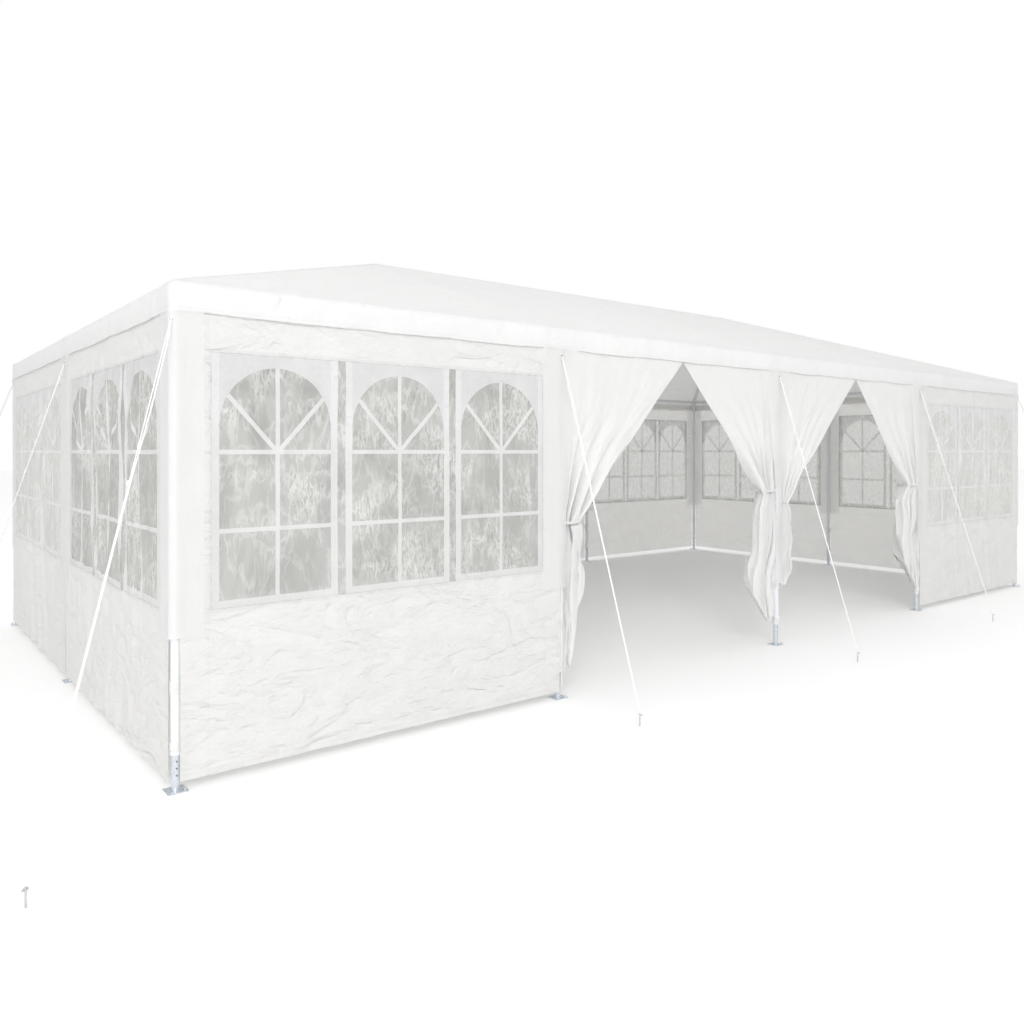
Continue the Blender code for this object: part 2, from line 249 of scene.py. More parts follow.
class Recipe:
    """A material's node tree, with short calls for the nodes that the finishes use."""

    def __init__(self, name: str) -> None:
        """Starts a material of that name with its shader and output."""
        self.material = bpy.data.materials.new(name)
        self.material.use_nodes = True
        self.tree = self.material.node_tree
        self.shader = self.tree.nodes["Principled BSDF"]
        self.output = self.tree.nodes["Material Output"]

    def node(self, kind: str, inputs: dict | None = None, **settings: object) -> bpy.types.Node:
        """Adds a node.

        Args:
            kind: The node's type, without the ShaderNode in front.
            inputs: Values or sockets by the input's name or number.
            settings: The node's own settings.

        Returns:
            The node.
        """
        made = self.tree.nodes.new(f"ShaderNode{kind}")
        for name, value in settings.items():
            setattr(made, name, value)
        for name, value in (inputs or {}).items():
            self.feed(made.inputs[name], value)
        return made

    def feed(self, socket: bpy.types.NodeSocket, value: object) -> None:
        """Links a socket to another one, or sets its plain value."""
        if isinstance(value, bpy.types.NodeSocket):
            self.tree.links.new(value, socket)
        else:
            socket.default_value = value

    def math(self, operation: str, *values: object, clamp: bool = False) -> bpy.types.NodeSocket:
        """Adds a Math node on up to three values and gives its result."""
        made = self.node("Math", dict(enumerate(values)), operation=operation, use_clamp=clamp)
        return made.outputs[0]

    def span(self, value: object, low: float, high: float, to_low: float, to_high: float) -> bpy.types.NodeSocket:
        """Maps a value from one range to another, smoothly and within it."""
        inputs = {0: value, 1: low, 2: high, 3: to_low, 4: to_high}
        return self.node("MapRange", inputs, interpolation_type="SMOOTHSTEP").outputs[0]

    def noise(self, place: object, scale: float, detail: float = 3.0, bend: float = 0.0) -> bpy.types.NodeSocket:
        """Adds soft noise over a place and gives its strength from 0 to 1."""
        inputs = {"Vector": place, "Scale": scale, "Detail": detail, "Distortion": bend}
        return self.node("TexNoise", inputs).outputs["Fac"]

    def blend(self, share: object, first: object, second: object) -> bpy.types.NodeSocket:
        """Mixes two colours."""
        made = self.node("Mix", {0: share, 6: first, 7: second}, data_type="RGBA")
        return made.outputs[2]

    def own_place(self, stretch: tuple[float, float, float] = (1.0, 1.0, 1.0)) -> bpy.types.NodeSocket:
        """The place in the tent's frame, stretched so that a pattern runs longer one way."""
        source = self.node("TexCoord").outputs["Object"]
        return self.node("Mapping", {"Vector": source, "Scale": stretch}).outputs[0]

    def flat_place(self) -> tuple[bpy.types.NodeSocket, bpy.types.NodeSocket]:
        """The two distances over the flat cloth, in metres."""
        source = self.node("UVMap", uv_map=FLAT_MAP).outputs[0]
        split = self.node("SeparateXYZ", {0: source})
        return split.outputs[0], split.outputs[1]

    def creases(self, place: object, scale: float, sharp: float = 0.16, bend: float = 0.8) -> bpy.types.NodeSocket:
        """Thin branching creases as in pressed sheet, 1 on a crease and 0 away from it."""
        soft = self.noise(place, scale, 4.0, bend)
        away = self.math("ABSOLUTE", self.math("SUBTRACT", soft, 0.5))
        return self.span(away, 0.0, sharp, 1.0, 0.0)

    def bump(self, height: object, strength: float = 1.0) -> None:
        """Raises the surface by a height in metres."""
        made = self.node("Bump", {"Strength": strength, "Distance": 1.0, "Height": height})
        self.feed(self.shader.inputs["Normal"], made.outputs[0])

    def total(self, *heights: object) -> bpy.types.NodeSocket:
        """Adds several heights up."""
        result = heights[0]
        for height in heights[1:]:
            result = self.math("ADD", result, height)
        return result

    def times(self, value: object, factor: object) -> bpy.types.NodeSocket:
        """Multiplies two values."""
        return self.math("MULTIPLY", value, factor)


@dataclass(frozen=True)
class WovenSheetFinish:
    """Coated white sheet woven from flat tape: creased, slightly see-through, sewn along its seams, with painted shade
    in its creases and a painted shadow line along an opening or edge.
    """

    name: str
    colour: tuple[float, float, float] = (0.945, 0.944, 0.946)
    # The colour that the creases take on as painted shade, and that the wide patches take on as random tone.
    shade: tuple[float, float, float] = (0.875, 0.877, 0.882)
    roughness: float = 0.42
    passes: float = 0.58
    glow: tuple[float, float, float] = (0.955, 0.95, 0.935)
    crease_height: float = 0.0058
    stretch: tuple[float, float, float] = (1.0, 1.0, 2.0)
    tape: float = 0.0026
    seams_up: tuple[float, ...] = ()
    seams_across: tuple[float, ...] = ()
    opening: tuple[float, float, float, float] | None = None
    edge_up: float | None = None
    edge_across: float | None = None

    def rim(self, recipe: Recipe) -> bpy.types.NodeSocket | None:
        """A grey painted shadow line beside an edge, round the opening or along the lowest or last edge, or None."""
        along, up = recipe.flat_place()
        if self.opening:
            left, right, low, high = self.opening
            aside = recipe.math("SUBTRACT", recipe.math("ABSOLUTE", recipe.math("SUBTRACT", along, (left + right) / 2)), (right - left) / 2)
            above = recipe.math("SUBTRACT", recipe.math("ABSOLUTE", recipe.math("SUBTRACT", up, (low + high) / 2)), (high - low) / 2)
            off = recipe.math("MAXIMUM", aside, above)
        elif self.edge_up is not None:
            off = recipe.math("SUBTRACT", up, self.edge_up)
        elif self.edge_across is not None:
            off = recipe.math("SUBTRACT", self.edge_across, along)
        else:
            return None
        wander = recipe.times(recipe.noise(recipe.own_place(), 30.0, 3.0), 0.006)
        return recipe.span(recipe.total(off, wander), 0.0032, 0.0066, 1.0, 0.0)

    def stitching(self, recipe: Recipe) -> bpy.types.NodeSocket | None:
        """Lock stitches along the seams, 1 on the thread and 0 elsewhere, or None without seams."""
        along, up = recipe.flat_place()
        found = None
        for place, run, seams in ((up, along, self.seams_up), (along, up, self.seams_across)):
            for seam in seams:
                off = recipe.math("ABSOLUTE", recipe.math("SUBTRACT", place, seam))
                line = recipe.span(off, 0.0006, 0.0012, 1.0, 0.0)
                step = recipe.math("FRACT", recipe.math("DIVIDE", run, 0.007))
                stitch = recipe.times(line, recipe.span(recipe.math("ABSOLUTE", recipe.math("SUBTRACT", step, 0.5)), 0.3, 0.38, 1.0, 0.0))
                found = stitch if found is None else recipe.math("MAXIMUM", found, stitch)
        return found

    def make(self) -> bpy.types.Material:
        """Builds the material."""
        recipe = Recipe(self.name)
        along, up = recipe.flat_place()
        place = recipe.own_place(self.stretch)
        large = recipe.creases(place, 3.2, 0.13)
        small = recipe.creases(place, 10.0, 0.2, 1.4)
        wide = recipe.noise(place, 1.3, 2.0)
        warp = recipe.math("SINE", recipe.times(along, math.tau / self.tape))
        weft = recipe.math("SINE", recipe.times(up, math.tau / self.tape))
        weave = recipe.times(warp, weft)
        heights = [
            recipe.times(large, self.crease_height),
            recipe.times(small, self.crease_height * 0.4),
            recipe.times(recipe.noise(place, 17.0, 3.0, 0.6), self.crease_height * 0.9),
            recipe.times(recipe.noise(place, 5.0, 2.0, 0.8), self.crease_height * 1.9),
            recipe.times(weave, 0.00003),
        ]
        # Painted shade: the colour turns to the shade colour in the large and small creases; the wide noise adds random
        # tone.
        crease_shade_and_tone = recipe.total(recipe.times(large, 0.35), recipe.times(small, 0.25), recipe.times(wide, 0.3))
        colour = recipe.blend(recipe.math("MULTIPLY", crease_shade_and_tone, 1.0, clamp=True), (*self.colour, 1), (*self.shade, 1))
        stitches = self.stitching(recipe)
        if stitches is not None:
            heights.append(recipe.times(stitches, 0.0004))
            colour = recipe.blend(recipe.times(stitches, 0.55), colour, (0.62, 0.63, 0.64, 1))
        rim = self.rim(recipe)
        # Painted shadow: the sheet turns grey along the rim, where the edge's shadow line falls.
        if rim is not None:
            colour = recipe.blend(recipe.times(rim, 0.75), colour, (0.42, 0.43, 0.44, 1))
        recipe.feed(recipe.shader.inputs["Base Color"], colour)
        rough = recipe.span(recipe.total(small, wide), 0.2, 1.4, self.roughness - 0.08, self.roughness + 0.14)
        recipe.feed(recipe.shader.inputs["Roughness"], rough)
        recipe.shader.inputs["Specular IOR Level"].default_value = 0.45
        recipe.shader.inputs["Sheen Weight"].default_value = 0.08
        recipe.bump(recipe.total(*heights))
        through = recipe.node("BsdfTranslucent", {"Color": (*self.glow, 1)})
        # Along the painted shadow line the sheet also lets less light through.
        passes = self.passes if rim is None else recipe.span(rim, 0.0, 1.0, self.passes, 0.2)
        mixed = recipe.node("MixShader", {0: passes, 1: recipe.shader.outputs[0], 2: through.outputs[0]})
        recipe.feed(recipe.output.inputs["Surface"], mixed.outputs[0])
        return recipe.material


@dataclass(frozen=True)
class ClearFilmFinish:
    """Soft window film: greyish, half milky, with hazy bands and fine crumples. Its grey body colour is painted shade
    of the dim inside seen through it, and the lighter milk in its ridges and crumples is partly real whitening of
    creased film and partly painted highlight.
    """

    name: str = "clear_window_film"
    tint: tuple[float, float, float] = (0.93, 0.935, 0.925)
    milk: float = 0.48
    haze: float = 0.32
    glow: float = 0.6
    # The grey of the film's body: painted shade of the dim inside seen through the film.
    body: float = 0.4
    roughness: float = 0.16

    def make(self) -> bpy.types.Material:
        """Builds the material."""
        recipe = Recipe(self.name)
        leaning = recipe.node("Mapping", {"Vector": recipe.own_place((1.0, 1.0, 0.42)), "Rotation": (0.35, 0.4, 0.0)})
        bands = recipe.span(recipe.noise(leaning.outputs[0], 4.5, 2.0, 1.2), 0.36, 0.68, 0.0, 1.0)
        place = recipe.own_place((1.0, 1.0, 1.25))
        patches = recipe.span(recipe.noise(place, 3.1, 2.0, 0.6), 0.45, 0.68, 0.08, 1.0)
        combed = recipe.node("Mapping", {"Vector": recipe.own_place((1.5, 1.5, 0.55)), "Rotation": (0.3, 0.5, 0.0)}).outputs[0]
        ridges = recipe.creases(combed, 11.0, 0.07, 0.7)
        crumples = recipe.times(recipe.creases(combed, 30.0, 0.12, 0.8), patches)
        # The milk in ridges and crumples is partly real whitening of creased film and partly painted highlight.
        milky = recipe.total(recipe.times(bands, 0.4), recipe.times(ridges, 0.3), recipe.times(crumples, 0.6))
        share = recipe.math("MULTIPLY_ADD", milky, self.haze, self.milk, clamp=True)
        heights = recipe.total(
            recipe.times(recipe.noise(leaning.outputs[0], 5.0, 3.0, 1.0), 0.009),
            recipe.times(ridges, 0.0011),
            recipe.times(crumples, 0.0009),
        )
        recipe.bump(heights)
        thick = self.body + 0.05
        # Painted shade and highlight: the body colour is grey for the dim inside seen through the film, and the ridges
        # and crumples turn whiter, partly as painted highlight.
        colour = recipe.blend(recipe.noise(place, 1.7, 2.0), (self.body,) * 3 + (1,), (thick, thick - 0.005, thick - 0.02, 1))
        colour = recipe.blend(milky, colour, (0.92, 0.92, 0.91, 1))
        recipe.feed(recipe.shader.inputs["Base Color"], colour)
        rough = recipe.span(milky, 0.0, 1.0, self.roughness, self.roughness + 0.2)
        recipe.feed(recipe.shader.inputs["Roughness"], rough)
        through = recipe.node("BsdfTranslucent", {"Color": (0.9, 0.9, 0.885, 1)})
        milk = recipe.node("MixShader", {0: self.glow, 1: recipe.shader.outputs[0], 2: through.outputs[0]})
        clear = recipe.node("BsdfTransparent", {"Color": (*self.tint, 1)})
        mixed = recipe.node("MixShader", {0: share, 1: clear.outputs[0], 2: milk.outputs[0]})
        recipe.feed(recipe.output.inputs["Surface"], mixed.outputs[0])
        return recipe.material


@dataclass(frozen=True)
class PrintFinish:
    """White ink on the film: full on the bars, thin and milky in the corners over the arch."""

    name: str
    cover: float
    colour: tuple[float, float, float] = (0.985, 0.985, 0.985)
    glow: float = 0.7

    def make(self) -> bpy.types.Material:
        """Builds the material."""
        recipe = Recipe(self.name)
        place = recipe.own_place()
        specks = recipe.noise(place, 140.0, 4.0)
        patches = recipe.noise(place, 9.0, 2.0)
        recipe.feed(recipe.shader.inputs["Base Color"], recipe.blend(patches, (*self.colour, 1), (0.94, 0.943, 0.946, 1)))
        recipe.feed(recipe.shader.inputs["Roughness"], recipe.span(specks, 0.3, 0.7, 0.28, 0.42))
        creases = recipe.times(recipe.creases(place, 22.0, 0.2, 1.4), 0.0005)
        recipe.bump(recipe.total(creases, recipe.times(specks, 0.00005)))
        share = recipe.span(recipe.total(specks, patches), 0.6, 1.4, self.cover - 0.05, self.cover + 0.05)
        through = recipe.node("BsdfTranslucent", {"Color": (*self.colour, 1)})
        ink = recipe.node("MixShader", {0: self.glow, 1: recipe.shader.outputs[0], 2: through.outputs[0]})
        clear = recipe.node("BsdfTransparent", {"Color": (0.93, 0.94, 0.94, 1)})
        mixed = recipe.node("MixShader", {0: share, 1: clear.outputs[0], 2: ink.outputs[0]})
        recipe.feed(recipe.output.inputs["Surface"], mixed.outputs[0])
        return recipe.material


@dataclass(frozen=True)
class TubeFinish:
    """White baked paint on steel tube, with bare galvanised steel below a height."""

    name: str
    bare_below: float
    paint: tuple[float, float, float] = (0.73, 0.745, 0.765)

    def make(self) -> bpy.types.Material:
        """Builds the material."""
        recipe = Recipe(self.name)
        place = recipe.own_place()
        height = recipe.node("SeparateXYZ", {0: recipe.node("TexCoord").outputs["Object"]}).outputs[2]
        bare = recipe.span(height, self.bare_below - 0.0005, self.bare_below + 0.0005, 1.0, 0.0)
        cells = recipe.node("TexVoronoi", {"Vector": place, "Scale": 160.0})
        spangle = recipe.blend(cells.outputs["Distance"], (0.56, 0.60, 0.65, 1), (0.70, 0.73, 0.77, 1))
        dust = recipe.span(recipe.noise(place, 26.0, 4.0), 0.45, 0.75, 0.0, 0.35)
        painted = recipe.blend(dust, (*self.paint, 1), (0.66, 0.67, 0.68, 1))
        recipe.feed(recipe.shader.inputs["Base Color"], recipe.blend(bare, painted, spangle))
        recipe.feed(recipe.shader.inputs["Metallic"], recipe.times(bare, 0.6))
        rough = recipe.span(recipe.noise(place, 60.0, 3.0), 0.3, 0.7, 0.26, 0.44)
        recipe.feed(recipe.shader.inputs["Roughness"], rough)
        peel = recipe.times(recipe.noise(place, 420.0, 2.0), 0.00004)
        recipe.bump(recipe.total(peel, recipe.times(recipe.noise(place, 30.0, 3.0), 0.0002)))
        return recipe.material


@dataclass(frozen=True)
class TwistedCordFinish:
    """Cord laid from three strands, from its own map: along in metres, and round from 0 to 1."""

    name: str = "twisted_cord"
    lay: float = 0.011

    def make(self) -> bpy.types.Material:
        """Builds the material."""
        recipe = Recipe(self.name)
        along, round_ = recipe.flat_place()
        phase = recipe.total(recipe.math("DIVIDE", along, self.lay), recipe.times(round_, 3.0))
        strand = recipe.math("ABSOLUTE", recipe.math("SINE", recipe.times(phase, math.pi)))
        fibre = recipe.noise(recipe.own_place((1.0, 1.0, 0.25)), 900.0, 2.0)
        # Painted shade: the cord is darker in the grooves between its strands and lighter on their crowns.
        colour = recipe.blend(strand, (0.66, 0.67, 0.67, 1), (0.93, 0.93, 0.92, 1))
        recipe.feed(recipe.shader.inputs["Base Color"], colour)
        recipe.feed(recipe.shader.inputs["Roughness"], recipe.span(fibre, 0.3, 0.7, 0.5, 0.75))
        recipe.shader.inputs["Sheen Weight"].default_value = 0.25
        recipe.bump(recipe.total(recipe.times(strand, 0.0006), recipe.times(fibre, 0.0001)))
        return recipe.material


@dataclass(frozen=True)
class SmallPartFinish:
    """Moulded or plated small parts: pegs, runners and eyelets; near-black, the same finish also gives the painted
    shade inside the rope slots.
    """

    name: str
    colour: tuple[float, float, float]
    metallic: float = 0.0
    roughness: float = 0.4

    def make(self) -> bpy.types.Material:
        """Builds the material."""
        recipe = Recipe(self.name)
        place = recipe.own_place()
        patches = recipe.noise(place, 70.0, 4.0)
        dull = tuple(c * 0.72 for c in self.colour)
        recipe.feed(recipe.shader.inputs["Base Color"], recipe.blend(recipe.span(patches, 0.35, 0.8, 0.0, 0.6), (*self.colour, 1), (*dull, 1)))
        recipe.shader.inputs["Metallic"].default_value = self.metallic
        recipe.feed(recipe.shader.inputs["Roughness"], recipe.span(patches, 0.3, 0.7, self.roughness - 0.08, self.roughness + 0.12))
        recipe.bump(recipe.times(recipe.noise(place, 500.0, 3.0), 0.00006))
        return recipe.material


@dataclass(frozen=True)
class Finishes:
    """Every material of the tent, made once."""

    roof: bpy.types.Material
    wall: bpy.types.Material
    curtain: bpy.types.Material
    cover: bpy.types.Material
    film: bpy.types.Material
    hazy_film: bpy.types.Material
    bars: bpy.types.Material
    corners: bpy.types.Material
    legs: bpy.types.Material
    tubes: bpy.types.Material
    cord: bpy.types.Material
    steel: bpy.types.Material
    plastic: bpy.types.Material
    slot: bpy.types.Material

    @classmethod
    def make(cls) -> "Finishes":
        """Builds them all."""
        hem = WALL_BOTTOM + 0.022
        strip = (STRIP_BOTTOM - 0.012, STRIP_TOP + 0.012)
        sides = (STRIP_MARGIN - 0.012, BAY - STRIP_MARGIN + 0.012)
        # The wall's opening, the valance's lower edge and the curtain's leading edge each get a painted shadow line
        # from WovenSheetFinish.rim.
        return cls(
            roof=WovenSheetFinish(
                "roof_sheet", (0.922, 0.928, 0.928), (0.868, 0.879, 0.881), passes=0.42, crease_height=0.0036,
                stretch=(1.0, 1.0, 1.0), seams_up=(-10.0 - VALANCE_DROP + 0.02,), edge_up=-10.0 - VALANCE_DROP,
            ).make(),
            wall=WovenSheetFinish(
                "wall_sheet", seams_up=(hem, *strip), seams_across=sides,
                opening=(STRIP_MARGIN, BAY - STRIP_MARGIN, STRIP_BOTTOM, STRIP_TOP),
            ).make(),
            curtain=WovenSheetFinish(
                "curtain_sheet", (0.966, 0.967, 0.967), (0.93, 0.934, 0.938), passes=0.62,
                glow=(0.97, 0.967, 0.96), stretch=(1.0, 1.0, 1.0), crease_height=0.0034,
                seams_up=(0.022,), seams_across=(0.975,), edge_across=1.0,
            ).make(),
            cover=WovenSheetFinish(
                "leg_cover_sheet", (0.965, 0.967, 0.967), (0.93, 0.935, 0.94), passes=0.72,
                glow=(0.975, 0.972, 0.968), stretch=(1.4, 1.4, 0.8), crease_height=0.0026,
            ).make(),
            film=ClearFilmFinish().make(),
            hazy_film=ClearFilmFinish("hazy_window_film", milk=0.74, body=0.84).make(),
            bars=PrintFinish("window_bar_print", 0.9).make(),
            corners=PrintFinish("window_corner_print", 0.84, (0.97, 0.972, 0.975)).make(),
            legs=TubeFinish("leg_tube", 0.144).make(),
            tubes=TubeFinish("roof_tube", -1.0).make(),
            cord=TwistedCordFinish().make(),
            steel=SmallPartFinish("peg_steel", (0.62, 0.64, 0.66), 0.9, 0.34).make(),
            plastic=SmallPartFinish("runner_plastic", (0.87, 0.87, 0.86), 0.0, 0.38).make(),
            # The rope slot's near-black is painted shade of the hole in the cover.
            slot=SmallPartFinish("rope_slot_painted_shade", (0.05, 0.05, 0.055), 0.0, 0.7).make(),
        )


@dataclass
class Canopy:
    """The hipped roof sheet over the tubes, with its valance all round."""

    finish: bpy.types.Material
    thickness: float = 0.0015
    first_step: float = 0.012
    usual_step: float = 0.04
    sag: float = 0.032
    corner_sag: float = 0.022
    wrinkle: float = 0.0065
    fold_drop: float = 0.012
    fold_width: float = 0.026
    valance_rows: tuple[float, ...] = (0.12, 0.108, 0.094, 0.078, 0.06, 0.043, 0.027, 0.013, 0.0)
    length: float = HALF_LENGTH + VALANCE_OUT
    width: float = HALF_WIDTH + VALANCE_OUT

    def steps_from_eave(self) -> np.ndarray:
        """Distances in from the eave to the ridge's foot, close together at the fold."""
        steps, step = [0.0], self.first_step
        while step < self.usual_step:
            steps.append(steps[-1] + step)
            step *= 1.25
        rest = self.width - steps[-1]
        count = round(rest / self.usual_step)
        steps += [steps[-1] + rest * (i + 1) / count for i in range(count)]
        return np.array(steps)

    def panel_share(self, x: np.ndarray, y: np.ndarray) -> tuple[np.ndarray, np.ndarray]:
        """How far a point is from the tubes round its panel: 0 over a tube and 1 in the middle.

        Args:
            x: Plan distance along the tent.
            y: Plan distance across it.

        Returns:
            The share, and how far the sheet sags where the share is 1.
        """
        a, b = np.abs(y) / self.width, (np.abs(x) - RIDGE_END) / self.width
        middle = np.sin(math.pi * np.mod(x, BAY) / BAY) * np.sin(math.pi * np.clip(a, 0, 1) ** 0.9)
        side = 27 * np.clip(b, 0, 1) * np.clip(a - b, 0, 1) * np.clip(1 - a, 0, 1)
        end = 27 * np.clip(a, 0, 1) * np.clip(b - a, 0, 1) * np.clip(1 - b, 0, 1)
        share = np.where(b <= 0, np.abs(middle), np.where(a >= b, side, end))
        return share, np.where(b <= 0, self.sag, self.corner_sag)

    def wrinkles(self, x: np.ndarray, y: np.ndarray) -> np.ndarray:
        """Tension wrinkles that fan out from the corners and leg tops, and slow folds between."""
        total = 0.35 * Ripple(11, 0.5, 0.42)(x, y)
        for leg_x in (-4.0, -2.0, 0.0, 2.0, 4.0):
            for leg_y in (-2.0, 2.0):
                dx, dy = x - leg_x, y - leg_y
                far = np.hypot(dx, dy) + 1e-6
                angle = np.arctan2(dy, dx)
                strong = 1.0 if abs(leg_x) == 4.0 else 0.5
                fan = np.sin(17.0 * angle + 2.0 * np.sin(3.0 * far + leg_x)) + 0.5 * np.sin(29.0 * angle + leg_y)
                total += strong * fan * np.exp(-far / 0.75) * ease(far, 0.03, 0.25)
        return total

    def fold(self, x: np.ndarray, y: np.ndarray) -> np.ndarray:
        """How far the sheet bends down at the eave: less where it lies over a leg's socket."""
        to_leg = np.maximum(*(np.abs(np.mod(place + 1.0, BAY) - 1.0) for place in (x, y)))
        return self.fold_drop * (0.4 + 0.6 * ease(to_leg, 0.035, 0.15))

    def roof_grid(self) -> bpy.types.Object:
        """The roof over the tubes, up to the fold at the eave."""
        inward = self.steps_from_eave()
        middle = np.linspace(-RIDGE_END, RIDGE_END, 101)[1:-1]
        xs = np.concatenate((inward - self.length, middle, (self.length - inward)[::-1]))
        ys = np.concatenate((inward - self.width, (self.width - inward)[::-1][1:]))
        x, y = np.meshgrid(xs, ys)
        share, sag = self.panel_share(x, y)
        z = RIDGE_Z - SLOPE * np.maximum(np.abs(y), np.abs(x) - RIDGE_END).clip(0)
        z = z - sag * share + self.wrinkle * self.wrinkles(x, y) * np.clip(share * 5, 0, 1)
        from_eave = np.minimum(self.length - np.abs(x), self.width - np.abs(y))
        z = z - self.fold(x, y) * np.clip(1 - from_eave / self.fold_width, 0, 1) ** 2
        points = np.stack((x, y, z), axis=-1)
        return cloth_grid(self.round_corners(points), np.stack((x, y), axis=-1))

    def valance_grid(self) -> bpy.types.Object:
        """The band that hangs from the eave, slack along its lower edge."""
        inward = self.steps_from_eave()
        middle = np.linspace(-RIDGE_END, RIDGE_END, 101)[1:-1]
        xs = np.concatenate((inward - self.length, middle, (self.length - inward)[::-1]))
        ys = np.concatenate((inward - self.width, (self.width - inward)[::-1][1:]))
        low, high = np.full_like(xs, -self.width), np.full_like(xs, self.width)
        left, right = np.full_like(ys, -self.length), np.full_like(ys, self.length)
        loop_x = np.concatenate((xs, right[1:], xs[::-1][1:], left[1:]))
        loop_y = np.concatenate((low, ys[1:], high[1:], ys[::-1][1:]))
        run = np.concatenate(([0.0], np.cumsum(np.hypot(np.diff(loop_x), np.diff(loop_y)))))
        drops = np.array(self.valance_rows)[:, None]
        hang = drops / VALANCE_DROP
        to_corner = np.minimum(self.length - np.abs(loop_x), self.width - np.abs(loop_y))
        to_corner = np.where(to_corner < 1e-6, np.minimum(*self.corner_distances(loop_x, loop_y)), to_corner)
        free = ease(to_corner, 0.05, 0.3)
        to_leg = np.abs(np.mod(np.where(np.abs(loop_y) >= self.width - 1e-6, loop_x, loop_y) + 1.0, BAY) - 1.0)
        free = free * ease(to_leg, 0.1, 0.3)
        wave = Ripple(23, 0.55, 1.0)(run, drops * 2) + 0.3 * Ripple(24, 0.16, 0.3)(run, drops * 2)
        out = hang**1.5 * free * (0.003 + 0.006 * wave)
        bent = self.fold(loop_x, loop_y)
        z = EAVE_Z - bent - drops * (1 - bent / VALANCE_DROP)
        z = z - hang * free * (0.004 + 0.004 * Ripple(31, 0.9, 1.0)(run, 0 * drops))
        x = loop_x + np.where(np.abs(loop_x) >= self.length - 1e-6, np.sign(loop_x) * out, 0 * out)
        y = loop_y + np.where(np.abs(loop_y) >= self.width - 1e-6, np.sign(loop_y) * out, 0 * out)
        points = np.stack(np.broadcast_arrays(x, y, z), axis=-1)
        flat = np.stack(np.broadcast_arrays(run, -10.0 - drops), axis=-1)
        return cloth_grid(self.round_corners(points), flat)

    def corner_distances(self, x: np.ndarray, y: np.ndarray) -> tuple[np.ndarray, np.ndarray]:
        """Distances from the nearest corner along the two sides, each 0 read as far along."""
        dx, dy = self.length - np.abs(x), self.width - np.abs(y)
        return np.where(dx < 1e-6, dy, dx), np.where(dy < 1e-6, dx, dy)

    def round_corners(self, points: np.ndarray) -> np.ndarray:
        """Bends the sheet round the four corner legs instead of to a sharp point."""
        rounded = points.copy()
        dx = np.abs(points[..., 0]) - HALF_LENGTH
        dy = np.abs(points[..., 1]) - HALF_WIDTH
        outside = (dx > 0) & (dy > 0)
        shrink = np.where(outside, np.maximum(dx, dy) / np.maximum(np.hypot(dx, dy), 1e-9), 1.0)
        rounded[..., 0] = np.sign(points[..., 0]) * np.where(outside, HALF_LENGTH + dx * shrink, np.abs(points[..., 0]))
        rounded[..., 1] = np.sign(points[..., 1]) * np.where(outside, HALF_WIDTH + dy * shrink, np.abs(points[..., 1]))
        return rounded

    def crease_hips(self, sheet: bpy.types.Object) -> None:
        """Splits the faces that the four hips cross along the hips, so that each is one clean line."""
        select_only(sheet)
        bpy.ops.object.mode_set(mode="EDIT")
        bpy.ops.mesh.select_mode(type="VERT")
        bpy.ops.mesh.select_all(action="DESELECT")
        cloth = bmesh.from_edit_mesh(sheet.data)
        for point in cloth.verts:
            x, y, z = point.co
            point.select_set(z > EAVE_Z and abs(abs(x) - self.length - abs(y) + self.width) < 0.0002)
        bmesh.update_edit_mesh(sheet.data)
        bpy.ops.mesh.vert_connect()
        bpy.ops.object.mode_set(mode="OBJECT")

    def build(self) -> bpy.types.Object:
        """Sews roof and valance together and gives the sheet its thickness.

        Returns:
            The canopy.
        """
        sheet = join([self.roof_grid(), self.valance_grid()], weld=0.0004)
        self.crease_hips(sheet)
        thicken(sheet, self.thickness, 100.0)
        finish_piece(sheet, "canopy_sheet", [self.finish])
        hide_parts("canopy")
        return sheet


